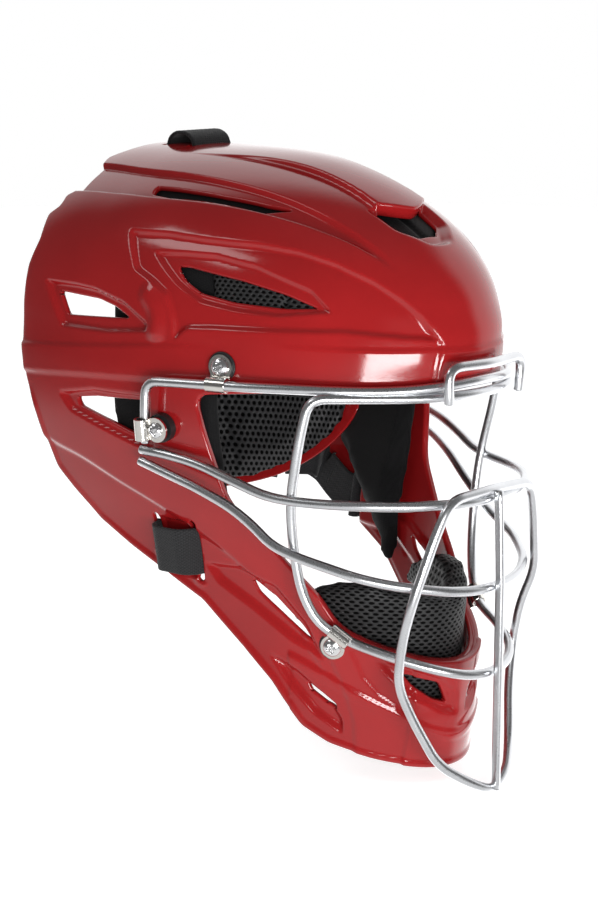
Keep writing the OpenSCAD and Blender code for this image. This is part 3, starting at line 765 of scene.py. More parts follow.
def cage_wire():
    """Satin silver coating over steel wire, with a faint cloud and small speckles."""
    mat, tree, shader = material("cage_wire")
    shader.inputs["Metallic"].default_value = 1.0
    cloud = noise_of(tree, 70, 5)
    feed(shader, "Base Color", ramp_of(tree, cloud,
                                       [(0.35, (0.66, 0.67, 0.69)), (0.65, (0.74, 0.75, 0.77))]))
    fine = noise_of(tree, 1800, 3)
    feed(shader, "Roughness", ramp_of(tree, fine, [(0.3, 0.26), (0.7, 0.34)]))
    feed(shader, "Normal", bump_of(tree, fine, 0.012, 0.0001))
    return mat


def polished_steel(name, colour, low, high):
    """Stamped or turned steel with rub marks."""
    mat, tree, shader = material(name)
    shader.inputs["Metallic"].default_value = 1.0
    smear = noise_of(tree, 320, 6, 0.65, (1, 1, 4))
    feed(shader, "Roughness", ramp_of(tree, smear, [(0.3, low), (0.7, high)]))
    tint = ramp_of(tree, noise_of(tree, 90, 4), [(0.3, tuple(c * 0.9 for c in colour)), (0.7, colour)])
    feed(shader, "Base Color", tint)
    feed(shader, "Normal", bump_of(tree, smear, 0.05, 0.0002))
    return mat


def mesh_fabric(name, thread, pitch):
    """Open spacer mesh: an even lattice of oval holes between knitted threads, with painted shade that
    dims each thread towards the holes and fills the holes near-black.
    """
    mat, tree, shader = material(name)
    k = 2 / math.sqrt(3) / pitch
    holes = waves(tree, [(0, k * 0.92), (k * 0.866, k * 0.46), (-k * 0.866, k * 0.46)])
    lattice = maths(tree, "MULTIPLY_ADD", holes, 1 / 4.5, 1.5 / 4.5)
    yarn = noise_of(tree, 2600, 2)
    face = maths(tree, "ADD", lattice, maths(tree, "MULTIPLY", maths(tree, "SUBTRACT", yarn, 0.5), 0.16))
    # the threads' colour is the cloth's own; the dimming towards each hole and the near-black holes are
    # painted shade in the openings
    feed(shader, "Base Color", ramp_of(tree, face,
                                       [(0.12, (thread, thread, thread * 1.05)),
                                        (0.40, (thread * 0.6, thread * 0.6, thread * 0.63)),
                                        (0.60, (0.001, 0.001, 0.001))]))
    feed(shader, "Specular IOR Level", ramp_of(tree, face, [(0.30, 0.5), (0.60, 0.06)]))
    height = ramp_of(tree, lattice, [(0.2, 1.0), (0.5, 0.75), (0.72, 0.0)])
    normal = bump_of(tree, height, 1.0, 0.0012)
    feed(shader, "Normal", bump_of(tree, yarn, 0.35, 0.0003, normal))
    feed(shader, "Roughness", ramp_of(tree, yarn, [(0.3, 0.40), (0.7, 0.62)]))
    return mat


def lining_fabric():
    """Fine black knit on the pads that are out of sight, in close vertical ribs."""
    mat, tree, shader = material("lining_fabric")
    knit = maths(tree, "MULTIPLY_ADD", waves(tree, [(0.9, 0.0), (0.45, 0.8), (-0.45, 0.8)]), 1 / 6, 0.5)
    fuzz = noise_of(tree, 1900, 3)
    feed(shader, "Base Color", ramp_of(tree, maths(tree, "MULTIPLY", knit, fuzz),
                                       [(0.1, (0.0015, 0.0015, 0.0017)),
                                        (0.5, (0.0045, 0.0045, 0.005))]))
    normal = bump_of(tree, knit, 0.4, 0.0003)
    feed(shader, "Normal", bump_of(tree, fuzz, 0.3, 0.0003, normal))
    feed(shader, "Roughness", ramp_of(tree, fuzz, [(0.3, 0.7), (0.7, 0.92)]))
    shader.inputs["Specular IOR Level"].default_value = 0.25
    shader.inputs["Sheen Weight"].default_value = 0.03
    return mat


def webbing_fabric():
    """Charcoal webbing: a close twill with fuzz and slightly paler raised threads."""
    mat, tree, shader = material("webbing_fabric")
    twill = maths(tree, "MULTIPLY_ADD", waves(tree, [(0.62, 0.42), (-0.62, 0.42), (0, 0.9)]), 1 / 6, 0.5)
    fuzz = noise_of(tree, 2200, 4, 0.7)
    tone = maths(tree, "ADD", maths(tree, "MULTIPLY", twill, 0.5), maths(tree, "MULTIPLY", fuzz, 0.5))
    feed(shader, "Base Color", ramp_of(tree, tone,
                                       [(0.3, (0.005, 0.005, 0.0055)),
                                        (0.6, (0.018, 0.018, 0.019))]))
    normal = bump_of(tree, twill, 0.6, 0.0004)
    feed(shader, "Normal", bump_of(tree, fuzz, 0.5, 0.0003, normal))
    feed(shader, "Roughness", ramp_of(tree, fuzz, [(0.3, 0.72), (0.7, 0.95)]))
    shader.inputs["Specular IOR Level"].default_value = 0.3
    shader.inputs["Sheen Weight"].default_value = 0.1
    shader.inputs["Sheen Roughness"].default_value = 0.45
    return mat


def grained(name, colour, rough, scale):
    """Moulded black plastic or rubber with a fine grain and dusty high spots."""
    mat, tree, shader = material(name)
    grain = noise_of(tree, scale, 5, 0.6)
    feed(shader, "Base Color", ramp_of(tree, grain,
                                       [(0.3, colour), (0.7, tuple(c * 1.9 for c in colour))]))
    feed(shader, "Normal", bump_of(tree, grain, 0.3, 0.0003))
    feed(shader, "Roughness", ramp_of(tree, grain, [(0.3, rough), (0.7, rough + 0.15)]))
    return mat


RED = red_plastic()
WIRE = cage_wire()
CLIP_STEEL = polished_steel("clip_steel", (0.80, 0.78, 0.74), 0.12, 0.26)
SCREW_STEEL = polished_steel("screw_steel", (0.92, 0.92, 0.93), 0.14, 0.3)
PAD_MESH = mesh_fabric("pad_mesh", 0.012, 2.1)
NAPE_MESH = mesh_fabric("nape_mesh", 0.024, 3.7)
LINING = lining_fabric()
WEB = webbing_fabric()
THREAD = grained("thread", (0.03, 0.03, 0.032), 0.6, 1500)
RUBBER = grained("black_rubber", (0.007, 0.007, 0.0075), 0.38, 900)
BLACK = grained("black_plastic", (0.009, 0.009, 0.0095), 0.3, 700)


def dress(obj, mat):
    """Gives an object one material."""
    obj.data.materials.clear()
    obj.data.materials.append(mat)
    return obj


# ---------------------------------------------------------------- padding
LINER_D, SIDE_D, CHIN_D, PAD_T, CHIN_PAD_T = 6.6, 7.8, 7.0, 8.0, 17.0
# Ends of the pads in degrees from the face, positive on the wearer's left, and their heights.
BROW_END, CROWN_END, CHIN_END, SIDE_REAR, SIDE_FRONT = 63, 100, 50, -85, -60.5
LINER_TOP, CROWN_LOW, CROWN_TOP = 98, 101, 137.4
BROW_SEAM, SIDE_SEAM_Z, NAPE_SEAM_X = 50, 22, 30
# The back plate: its angles are in degrees from the nape.
PLATE_T, PLATE_PAD_T, PLATE_INSET, PLATE_REACH = 3.0, 9.0, 18.0, 105.0
PLATE_HALF_H, PLATE_MID_Z, PLATE_TIP, PLATE_END, PLATE_PAD_END, PAD_BORDER = 63, -3, 83, 82, 79, 3
# How far through its room a pad's two faces start, from the shell in: the back one, the front
# one at its edge, and how much further the front one goes in the middle.
BACK_FILL, EDGE_FILL, SWELL_FILL = 0.02, 0.74, 0.14
CLOTH = {"quality": 4, "mass": 0.3, "tension_stiffness": 12, "compression_stiffness": 12,
         "bending_stiffness": 0.6, "use_pressure": True, "uniform_pressure_force": 4}
CLOTH_FRAMES = 20
# Size of the cloth's own mesh in metres; how far, in millimetres, it may drift sideways and out.
VOXEL = 0.0036
SIDE_CAP, OUT_CAP = 1.5, 0.3


def settle(z, d):
    """A height of the outer dome, moved to the same place on the dome inset by d."""
    z = np.asarray(z, float)
    return np.where(z <= BRIM_Z, z, BRIM_Z + (z - BRIM_Z) * (CROWN_Z - d - BRIM_Z) / (CROWN_Z - BRIM_Z))


def depth_of(p):
    """How far inside the outer surface each point is."""
    low, high = np.full(len(p), -4.0), np.full(len(p), 60.0)
    for _ in range(26):  # halvings of a range of 64 mm
        d = (low + high) / 2
        w, f, r = dims(p[:, 2], d)
        front = p[:, 1] < MID_Y
        power = np.where(front, FRONT_POW, REAR_POW)
        reach = np.where(front, f + MID_Y, r - MID_Y)
        k = ((np.abs(p[:, 0]) / np.maximum(w, 1e-3))**power
             + (np.abs(p[:, 1] - MID_Y) / np.maximum(reach, 1e-3))**power)
        inside = (k < 1) & (p[:, 2] < CROWN_Z - d)
        low, high = np.where(inside, d, low), np.where(inside, high, d)
    return (low + high) / 2


def away_from_head(p):
    """Unit directions out of the head, square to the shell's family."""
    step = 0.5
    slope = [depth_of(p - step * axis) - depth_of(p + step * axis) for axis in np.eye(3)]
    return unit(np.stack(slope, 1))


def away_from_nape(p):
    """The same for the back plate, which is a tube round the head's long axis."""
    return unit(p * [1 / (HALF_W - PLATE_INSET)**2, 1 / PLATE_REACH**2, 0])


def plate_at(phi, z, d):
    """A point of the back plate; phi is 0 at the nape, and d goes in towards the head."""
    tuck = 1 - 0.06 * (np.asarray(z) / 60)**2
    width = dims(np.minimum(z, BRIM_Z), 0)[0] - PLATE_INSET - d
    return np.stack(np.broadcast_arrays(-width * tuck * np.sin(phi),
                                        (PLATE_REACH - d) * tuck * np.cos(phi), z), -1)


def liner_place(t0, t1, lo, hi, outside, inside):
    """Where a pad's points lie, between two angles round the head and two heights."""
    def place(a, b, into):
        t = t0 + (t1 - t0) * b
        z = lo(t) + (hi(t) - lo(t)) * a
        d = outside + (inside - outside) * into
        return at(settle(z, d), np.radians(t), d)
    return place


def plate_half(phi):
    """Half the height of the back plate's outline."""
    return PLATE_HALF_H * np.maximum(0, 1 - np.abs(phi / PLATE_TIP)**3.5)**0.6


def plate_place(a, b, into):
    """Where the nape cushion's points lie, inside a border of bare plate."""
    phi = PLATE_PAD_END * (2 * b - 1)
    z = PLATE_MID_Z + (plate_half(phi) - PAD_BORDER) * (2 * a - 1)
    return plate_at(np.radians(phi), z, PLATE_T + PLATE_PAD_T * into)


def brow_low(t):
    """The brow pad's lower edge, which dips towards the temples."""
    return 33 - 5 * np.sin(np.radians(t))**2


def side_low(t):
    """The side pad's lower edge, which runs down towards the jaw."""
    return -30 - (t - SIDE_REAR) * 2.85


def chin_low(t):
    """The chin pad's lower edge, which rises at both ends."""
    ends = np.maximum(0, (np.abs(t) - 34) / 16)
    return -150 + 22 * np.sin(np.radians(t * 1.4))**2 + 34 * np.sin(np.radians(90 * ends))**2


def chin_high(t):
    """The chin pad's upper edge, which dips at the chin and at both ends."""
    return -83 + 11 * np.sin(np.radians(t * 2.2))**2 - 16 * (np.abs(t) / CHIN_END)**6


def pad_blank(name, place, rows=14, cols=30, edge=0.003):
    """A pad before it is filled: a pillow a little smaller than its room."""
    a = np.linspace(edge, 1 - edge, rows)[:, None]
    b = np.linspace(edge * 0.6, 1 - edge * 0.6, cols)[None, :]
    swell = (np.sin(np.pi * np.linspace(0.02, 0.98, rows))[:, None]
             * np.sin(np.pi * np.linspace(0.02, 0.98, cols))[None, :])**0.4
    back = place(a, b, BACK_FILL).reshape(-1, 3)
    front = place(a, b, EDGE_FILL + SWELL_FILL * swell).reshape(-1, 3)
    faces, rim = grid_faces(rows, cols)
    faces += ring_faces(rim, rim + rows * cols)
    return mesh_object(name, np.concatenate([back, front]), faces)


def co_of(mesh):
    """A mesh's points in millimetres."""
    out = np.empty(len(mesh.vertices) * 3)
    mesh.vertices.foreach_get("co", out)
    return out.reshape(-1, 3) / MM


def put_co(mesh, points):
    """Moves a mesh's points to places in millimetres."""
    mesh.vertices.foreach_set("co", (np.asarray(points) * MM).ravel())
    mesh.update()


def applied(obj):
    """The object's mesh with its modifiers applied, and none left on it."""
    graph = bpy.context.evaluated_depsgraph_get()
    made = bpy.data.meshes.new_from_object(obj.evaluated_get(graph))
    obj.modifiers.clear()
    obj.data = made
    made.polygons.foreach_set("use_smooth", [True] * len(made.polygons))
    return made


def inflate(pads):
    """Fills the pads with Cloth pressure; a pad is (object, directions out of the head, and
    how far it may swell in towards the head)."""
    for obj, _, _ in pads:
        remesh = obj.modifiers.new("remesh", "REMESH")
        remesh.mode = "VOXEL"
        remesh.voxel_size = VOXEL
        even = obj.modifiers.new("even", "SMOOTH")
        even.factor, even.iterations = 0.5, 4
        applied(obj)
    starts = [co_of(obj.data) for obj, _, _ in pads]
    for obj, _, _ in pads:
        cloth = obj.modifiers.new("cloth", "CLOTH")
        for key, value in CLOTH.items():
            setattr(cloth.settings, key, value)
        cloth.settings.effector_weights.gravity = 0
        cloth.point_cache.frame_start, cloth.point_cache.frame_end = 1, CLOTH_FRAMES
    scene = bpy.context.scene
    for frame_number in range(1, CLOTH_FRAMES + 1):
        scene.frame_set(frame_number)
    for obj, _, _ in pads:
        applied(obj)
    scene.frame_set(1)
    for (obj, outward_of, cap), start in zip(pads, starts):
        out = outward_of(start)
        move = co_of(obj.data) - start
        rise = (move * out).sum(1)
        sideways = move - out * rise[:, None]
        size = np.linalg.norm(sideways, axis=1, keepdims=True)
        sideways *= np.minimum(1, SIDE_CAP / np.maximum(size, 1e-6))
        put_co(obj.data, start + sideways + out * np.clip(rise, -cap, OUT_CAP)[:, None])
        obj.modifiers.new("smooth", "SUBSURF").levels = 1
        obj.modifiers[-1].render_levels = 1
        applied(obj)


def normals_of(mesh):
    """The normal at each of a mesh's points."""
    out = np.empty(len(mesh.vertices) * 3)
    mesh.vertex_normals.foreach_get("vector", out)
    return out.reshape(-1, 3)


def sew(obj, distance, width=1.6, depth=1.8):
    """Draws the surface in along a seam; distance is each point's distance from it."""
    points = co_of(obj.data)
    pull = depth * np.exp(-(distance(points) / width)**2)
    put_co(obj.data, points - normals_of(obj.data) * pull[:, None])


def weave_on(obj, coords):
    """Keeps each point's place on its cloth, in millimetres, for the weave to follow."""
    made = obj.data.attributes.new("weave", "FLOAT_VECTOR", "POINT")
    flat = np.zeros((len(obj.data.vertices), 3), np.float32)
    flat[:, :2] = coords
    made.data.foreach_set("vector", flat.ravel())


def round_head(points, radius=88.0):
    """Distance round the head, and height up it with the way in through the pad added."""
    u = radius * np.arctan2(points[:, 0], MID_Y - points[:, 1])
    return np.stack([u, points[:, 2] + depth_of(points)], 1)


def round_nape(points, radius=95.0):
    """Distance round the nape, and height up it."""
    return np.stack([radius * np.arctan2(points[:, 0], points[:, 1]), points[:, 2]], 1)


def mirrored_copy(obj, name):
    """The same piece on the other side of the head."""
    mesh = obj.data.copy()
    mesh.transform(Matrix.Diagonal((-1, 1, 1, 1)))
    mesh.flip_normals()
    made = bpy.data.objects.new(name, mesh)
    bpy.context.scene.collection.objects.link(made)
    return made


def make_pads():
    """The six cushions: five ride on the helmet, and the nape's on the back plate."""
    brow = pad_blank("brow_cushion", liner_place(
        -BROW_END, BROW_END, brow_low, lambda t: LINER_TOP, LINER_D, LINER_D + PAD_T), cols=44)
    crown = pad_blank("crown_cushion", liner_place(
        -CROWN_END, CROWN_END, lambda t: CROWN_LOW, lambda t: CROWN_TOP,
        LINER_D, LINER_D + PAD_T), cols=48)
    side = pad_blank("side_cushion_right", liner_place(
        SIDE_REAR, SIDE_FRONT, side_low, lambda t: LINER_TOP, SIDE_D, SIDE_D + PAD_T),
        rows=30, cols=16)
    chin = pad_blank("chin_cushion", liner_place(
        -CHIN_END, CHIN_END, chin_low, chin_high, CHIN_D, CHIN_D + CHIN_PAD_T), cols=36)
    nape = pad_blank("nape_cushion", plate_place, rows=20, cols=36)
    inflate([(brow, away_from_head, 4), (crown, away_from_head, 4), (side, away_from_head, 4),
             (chin, away_from_head, 5), (nape, away_from_nape, 4)])
    seam_at = float(np.interp(math.radians(BROW_SEAM), _T, _GIRTH))
    sew(brow, lambda p: np.abs(girth(p[:, 1], np.minimum(p[:, 2], BRIM_Z)) - seam_at))
    sew(crown, lambda p: np.abs(p[:, 0]))
    sew(nape, lambda p: np.abs(np.abs(p[:, 0]) - NAPE_SEAM_X))
    sew(side, lambda p: np.abs(p[:, 2] - SIDE_SEAM_Z))
    side_left = mirrored_copy(side, "side_cushion_left")
    fills = [(brow, "brow_pad", PAD_MESH), (crown, "crown_pad", LINING),
             (side, "side_pad_right", LINING), (side_left, "side_pad_left", LINING),
             (chin, "chin_pad", PAD_MESH)]
    for piece, stands_for, cloth in fills:
        weave_on(piece, round_head(co_of(piece.data)))
        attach(dress(piece, cloth), "helmet")
        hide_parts(stands_for)
    weave_on(nape, round_nape(co_of(nape.data)))
    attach(dress(nape, NAPE_MESH), "back_plate")
    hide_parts("back_plate_pad")


# ---------------------------------------------------------------- webbing
STRAP_W, ELASTIC_W, CROWN_STRAP_W, STRAP_T = 26.0, 22.0, 28.0, 2.0
BAR_Y, BAR_Z, BAR_R, GAP = 101.0, 66.0, 2.5, 0.3
BAR_SIDE_Y = BAR_Y + BAR_R + GAP + STRAP_T / 2
RIB_PITCH, PICK_PITCH = 3.2, 2.4
STITCH_PITCH, STITCH_SIDES = 2.6, 6
# How far along a stitch each of its rings lies, and its radius as a share of the thread's.
STITCH_RINGS = [(0, 0.3), (0.4, 0.9), (1.0, 1.0), (1.6, 0.9), (2.0, 0.3)]
STUD_PHI, STUD_Z = 47.0, -46.0
# How far under the shell's outer surface the ends of the jaw strap's loop and the elastic run.
LOOP_D, TAIL_D = WALL + 1.3, WALL + 3.0
SLOPE = unit(at(STRAP_Z + 10, math.radians(-75)) - at(STRAP_Z - 10, math.radians(-75)))


def strap_spot(y, d, z=STRAP_Z):
    """A point of the right side at a depth under the shell's outer surface."""
    return at(z, -angle_of(y, z, d), d)


def plate_spot(phi, z, d):
    """A point of the back plate, with its angle in degrees."""
    return plate_at(math.radians(phi), z, d)


def even_run(path, step):
    """The path with its points an even step apart."""
    path = np.asarray(path, float)
    run = np.concatenate([[0], np.cumsum(np.linalg.norm(np.diff(path, axis=0), axis=1))])
    places = np.linspace(0, run[-1], int(run[-1] / step) + 2)
    return np.stack([np.interp(places, run, path[:, k]) for k in range(3)], 1), places


def webbing(name, path, across, wide):
    """A woven band along a path, with rounded edges and a faintly ribbed face."""
    path, run = even_run(path, 1.2)
    ahead = unit(np.gradient(path, axis=0))
    across = np.asarray(across, float)
    side = unit(across - ahead * (ahead @ across)[:, None])
    up = np.cross(ahead, side)
    flat = np.linspace(-1, 1, 27)
    edge = STRAP_T / 2
    profile = [(x * (wide / 2 - edge), edge) for x in flat]
    profile += [(wide / 2 - edge + edge * math.cos(a), edge * math.sin(a)) for a in (0.9, 0, -0.9)]
    profile += [(x * (wide / 2 - edge), -edge) for x in flat[::-1]]
    profile += [(-wide / 2 + edge - edge * math.cos(a), edge * math.sin(a)) for a in (-0.9, 0, 0.9)]
    profile = np.array(profile)
    ribs = 0.06 * np.cos(profile[:, 0] * 2 * np.pi / RIB_PITCH) * np.sign(profile[:, 1])
    n, m = len(path), len(profile)
    wave = 0.04 * np.cos(run * 2 * np.pi / PICK_PITCH)
    points = (path[:, None] + side[:, None] * profile[None, :, :1]
              + up[:, None] * (profile[:, 1] * 0.95 + ribs)[None, :, None]
              + up[:, None] * (wave[:, None] * np.sign(profile[:, 1])[None, :])[:, :, None])
    made = mesh_object(name, points.reshape(-1, 3), tube_faces(n, m))
    weave_on(made, np.stack([np.tile(profile[:, 0], n), np.repeat(run, m)], 1))
    return dress(made, WEB)


def stitches(name, lines, up, thread=0.32):
    """Short stitches along straight lines of sewing, standing a little out of the band."""
    points, faces = [], []
    for a, b in lines:
        a, b = np.asarray(a, float), np.asarray(b, float)
        along = unit(b - a)
        over = np.cross(up, along)
        length = np.linalg.norm(b - a)
        for k in range(int(length / STITCH_PITCH)):
            start = a + along * (k * STITCH_PITCH + 0.3)
            faces += tube_faces(len(STITCH_RINGS), STITCH_SIDES, len(points))
            for reach, size in STITCH_RINGS:
                for angle in 2 * math.pi * np.arange(STITCH_SIDES) / STITCH_SIDES:
                    way = math.cos(angle) * over + math.sin(angle) * np.asarray(up)
                    points.append(start + along * reach + thread * size * way)
    return dress(mesh_object(name, points, faces), THREAD)


def make_crown_strap():
    """The loop on the crown, the elastic drop behind it, and its sewn end round the crossbar."""
    crown_loop = webbing("crown_strap_loop", rounded([
        [0, 44, 132.9], [0, 55.5, 132.9], [0, 59, 142], [0, 64, 144.5], [0, 72, 144.5],
        [0, 77, 141.5], [0, 80, 132.4], [0, 84, 132]], 3), [1, 0, 0], CROWN_STRAP_W)
    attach(crown_loop, "helmet")
    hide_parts("top_strap_loop")
    drop = webbing("crown_strap", rounded([
        [0, 84.3, 132], [0, 92, 129], [0, 100, 116], [0, 104, 100],
        [0, BAR_SIDE_Y, BAR_Z + 14.4]], 8), [1, 0, 0], CROWN_STRAP_W)
    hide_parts("top_strap")
    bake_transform(drop)
    round_bar = [[0, BAR_SIDE_Y, BAR_Z + 14], [0, BAR_SIDE_Y, BAR_Z + 7]]
    turn_r = BAR_SIDE_Y - BAR_Y
    round_bar += [[0, BAR_Y + turn_r * math.cos(a), BAR_Z + turn_r * math.sin(a)]
                  for a in np.linspace(0, -2 * math.pi + 0.9, 26)]
    end_loop = webbing("crown_strap_end", round_bar, [1, 0, 0], CROWN_STRAP_W)
    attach(end_loop, "strap_end")
    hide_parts("top_strap_end")
    half = CROWN_STRAP_W / 2 - 2.5
    box = [(-half, 6.5), (half, 6.5), (half, 12.5), (-half, 12.5)]
    corners = [(x, BAR_SIDE_Y + STRAP_T / 2 + 0.05, BAR_Z + h) for x, h in box]
    seam = stitches("crown_strap_stitching",
                    list(zip(corners, corners[1:] + corners[:1])), (0, 1, 0))
    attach(seam, "strap_end")


def make_jaw_straps():
    """On each side: the loop outside the shell, two lengths of elastic, and the tab on the plate."""
    a, b = STRAP_Y
    band = rounded([strap_spot(a - 9, LOOP_D), strap_spot(a - 2, LOOP_D), strap_spot(a + 1, -3),
                    strap_spot(a + 5, -7), strap_spot(b - 5, -7), strap_spot(b - 1, -3),
                    strap_spot(b + 2, LOOP_D), strap_spot(b + 5, LOOP_D)], 3)
    tail = rounded([strap_spot(b + 5.3, LOOP_D, -65.6), strap_spot(28, TAIL_D - 0.6, -63.8),
                    strap_spot(38, TAIL_D, -58), strap_spot(48, TAIL_D + 0.2, -52),
                    plate_spot(67, -46, -8), plate_spot(62, -46, -4.7),
                    plate_spot(STUD_PHI + 9, STUD_Z - 0.5, -3.5)], 4)
    end = [plate_spot(STUD_PHI + 6.8, STUD_Z - 0.5, -1.6), plate_spot(STUD_PHI + 1, STUD_Z, -1.4),
           plate_spot(STUD_PHI - 7, STUD_Z, -1.3)]
    middle = int(np.argmin(np.abs(tail[:, 1] - 38)))
    for side, flip in (("right", 1), ("left", -1)):
        turn = np.array([flip, 1, 1])
        loop = webbing("jaw_strap_" + side, band * turn, SLOPE * turn, STRAP_W)
        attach(loop, "helmet")
        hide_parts("side_strap_" + side)
        front = webbing("jaw_strap_front_" + side, tail[:middle + 1] * turn, SLOPE * turn, ELASTIC_W)
        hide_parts("lower_strap_" + side)
        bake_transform(front)
        rear = webbing("jaw_strap_rear_" + side, tail[middle:] * turn, SLOPE * turn, ELASTIC_W)
        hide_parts("lower_strap_" + side)
        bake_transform(rear)
        tab = webbing("jaw_strap_tab_" + side, np.array(end) * turn, SLOPE * turn, STRAP_W)
        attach(tab, "back_plate")
        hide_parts("lower_strap_ends")


def make_straps():
    """All the webbing: the crown strap and the jaw straps."""
    make_crown_strap()
    make_jaw_straps()


# ---------------------------------------------------------------- screws and washers
TEMPLE_AT, SIDE_AT, JAW_AT = (-40, 37), (-5, 2.5), (-84, -107)
SIDE_STAND = 6.0
HEAD_R, SHANK_R, HEAD_LOW, HEAD_EDGE = 4.8, 2.4, 1.3, 0.9
CROSS_TURN, CROSS_HALF, CROSS_REACH, CROSS_DEPTH = 20, 0.75, 2.7, 1.5


def side_frame(y, z):
    """The spot on the right side of the shell at (y, z), and its out, forward and up directions."""
    t = -float(angle_of(y, z))
    here = at(z, t)
    normal = unit(np.cross(at(z, t + 0.01) - at(z, t - 0.01), at(z + 0.5, t) - at(z - 0.5, t)))
    normal = normal * (1 if normal[0] < 0 else -1)
    forward = unit(np.cross([0, 0, 1], normal))
    return here, normal, forward, np.cross(normal, forward)


def turned(name, spots, profile, mat, cut=None, segments=56):
    """Turned pieces on both sides of the head. A spot is ((y, z), how far it stands off the
    shell, scale), profile is (radius, height) from the middle out, and cut is the depth of a
    driver recess."""
    points, faces = [], []
    for (y, z), lift, scale in spots:
        here, out, forward, up = side_frame(y, z)
        for flip in (1, -1):
            faces += tube_faces(len(profile), segments, len(points))
            for r, h in profile:
                for a in 2 * math.pi * np.arange(segments) / segments:
                    u, v = r * scale * math.cos(a), r * scale * math.sin(a)
                    drop = cut(u, v) if cut and r * scale < 3 else 0.0
                    p = here + out * (h + lift - drop) + forward * u + up * v
                    points.append(p * [flip, 1, 1])
    return dress(faced_out(mesh_object(name, points, faces)), mat)


def cross_recess(u, v):
    """Depth of a screw's cross-shaped driver recess."""
    c, s = math.cos(math.radians(CROSS_TURN)), math.sin(math.radians(CROSS_TURN))
    a, b = abs(u * c + v * s), abs(v * c - u * s)
    arm = max(min((CROSS_HALF - a) / 0.3, (CROSS_REACH - b) / 0.5),
              min((CROSS_HALF - b) / 0.3, (CROSS_REACH - a) / 0.5))
    return CROSS_DEPTH * float(ease(arm))


def make_screws():
    """Domed screws with cross recesses, and rubber washers under those on the shell itself."""
    dome = [(r, HEAD_LOW + HEAD_EDGE + 1.9 * (1 - (r / HEAD_R)**2.6))
            for r in np.arange(0.1, HEAD_R - 0.2, 0.2)]
    head = dome + [(HEAD_R - 0.1, 2.15), (HEAD_R, 1.9), (HEAD_R, 1.45), (HEAD_R - 0.2, HEAD_LOW),
                   (SHANK_R, HEAD_LOW), (SHANK_R, -WALL - 1)]
    spots = [(TEMPLE_AT, 1.2, 1), (JAW_AT, 1.2, 1), (SIDE_AT, SIDE_STAND, 0.86)]
    screws = turned("clip_screw_heads", spots, head, SCREW_STEEL, cut=cross_recess)
    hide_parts("clip_screws")
    ring = [(2.5, 0.05), (7.3, 0.05), (7.6, 0.3), (7.6, 0.8), (7.3, 1.05), (6.9, 1.15), (2.5, 1.15)]
    washers = turned("clip_washers", [(TEMPLE_AT, 0, 1), (JAW_AT, 0, 1)], ring, RUBBER)
    for piece in (screws, washers):
        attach(piece, "helmet")


# ---------------------------------------------------------------- jaw clips
CLIP_T, CLIP_HALF, CLIP_LIFT, CLIP_BEND_R = 1.1, 6.6, 1.75, WIRE_R + 0.75


def bent_strip(path, across, half, thick, bevel=0.25):
    """Points and faces of a metal strip along a path, its edges just taken off."""
    ahead = unit(np.gradient(path, axis=0))
    face = unit(np.cross(across, ahead))
    t = thick / 2
    in_x = 0.955
    section = [(1, bevel - t), (1, t - bevel), (in_x, t), (-in_x, t), (-1, t - bevel),
               (-1, bevel - t), (-in_x, -t), (in_x, -t)]
    points = np.concatenate([[spot + across * w * a + f * b for a, b in section]
                             for spot, f, w in zip(path, face, half)])
    return points, tube_faces(len(path), len(section))


def make_jaw_clips():
    """A tab under each jaw screw that goes up and over the cage's lower wire."""
    spot, out, forward, _ = side_frame(*JAW_AT)
    wire = np.asarray(WIRES["eye_ring"], float)
    near = wire[np.argmin(np.linalg.norm(wire - spot, axis=1))] - spot
    stand = near @ out
    up = near - out * stand
    rise = np.linalg.norm(up)
    up = unit(up)
    bend = [(rise + CLIP_BEND_R * math.sin(a), stand + CLIP_BEND_R * math.cos(a))
            for a in np.radians(np.arange(-55, 236, 12))]
    line = rounded([(0.2 - CLIP_HALF, CLIP_LIFT), (rise - 6.5, CLIP_LIFT)] + bend, 1.5)
    path, _ = even_run([spot + up * u + out * v for u, v in line], 0.5)
    down = (path - spot) @ up
    half = np.where(down < 0, np.sqrt(np.maximum(0.3, CLIP_HALF**2 - down**2)),
                    CLIP_HALF - 0.9 * ease(down / 4))
    right, faces = bent_strip(path, unit(np.cross(out, up)), half, CLIP_T)
    faces += [tuple(v + len(right) for v in f) for f in faces]
    points = np.concatenate([right, right * [-1, 1, 1]])
    clips = faced_out(dress(mesh_object("jaw_clip_straps", points, faces, False), CLIP_STEEL))
    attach(clips, "helmet")
    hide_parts("jaw_clips")


# ---------------------------------------------------------------- centre bar
# The bar's line as (y, z), from the top down.
CENTER_LINE = [(-151, -22), (-153, -70), (-153, -118), (-153, -179)]
CENTER_W, CENTER_DEPTH, CENTER_ROUND = 3.2, 4.8, 1.3


def make_center_bar():
    """A flat-sided bar with rounded edges, down the middle of the cage."""
    in_x, in_y = CENTER_W / 2 - CENTER_ROUND, CENTER_DEPTH / 2 - CENTER_ROUND
    section = []
    for x, y, start in ((in_x, in_y, 0), (-in_x, in_y, 90), (-in_x, -in_y, 180), (in_x, -in_y, 270)):
        for turn in np.radians(start + np.linspace(0, 90, 6)):
            section.append((x + CENTER_ROUND * math.cos(turn), y + CENTER_ROUND * math.sin(turn)))
    heights = np.linspace(CENTER_LINE[0][1], CENTER_LINE[-1][1], 60)
    line = np.array(CENTER_LINE)[::-1]
    middles = np.interp(heights, line[:, 1], line[:, 0])
    points = [(x, y + middle, z) for z, middle in zip(heights, middles) for x, y in section]
    faces = tube_faces(len(heights), len(section))
    bar = faced_out(dress(mesh_object("centre_bar", points, faces), WIRE))
    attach(bar, "helmet")
    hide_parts("center_bar")


# ---------------------------------------------------------------- back plate
PLATE_ROWS, PLATE_COLS = 44, 92
RELIEF_DEPTH, PANEL_END, PANEL_INSET = 0.9, 72, 6
RIB_PHI, RIB_WIDTH, RIB_INSET, STUD_PAD_R = 24, 2.2, 12, 11
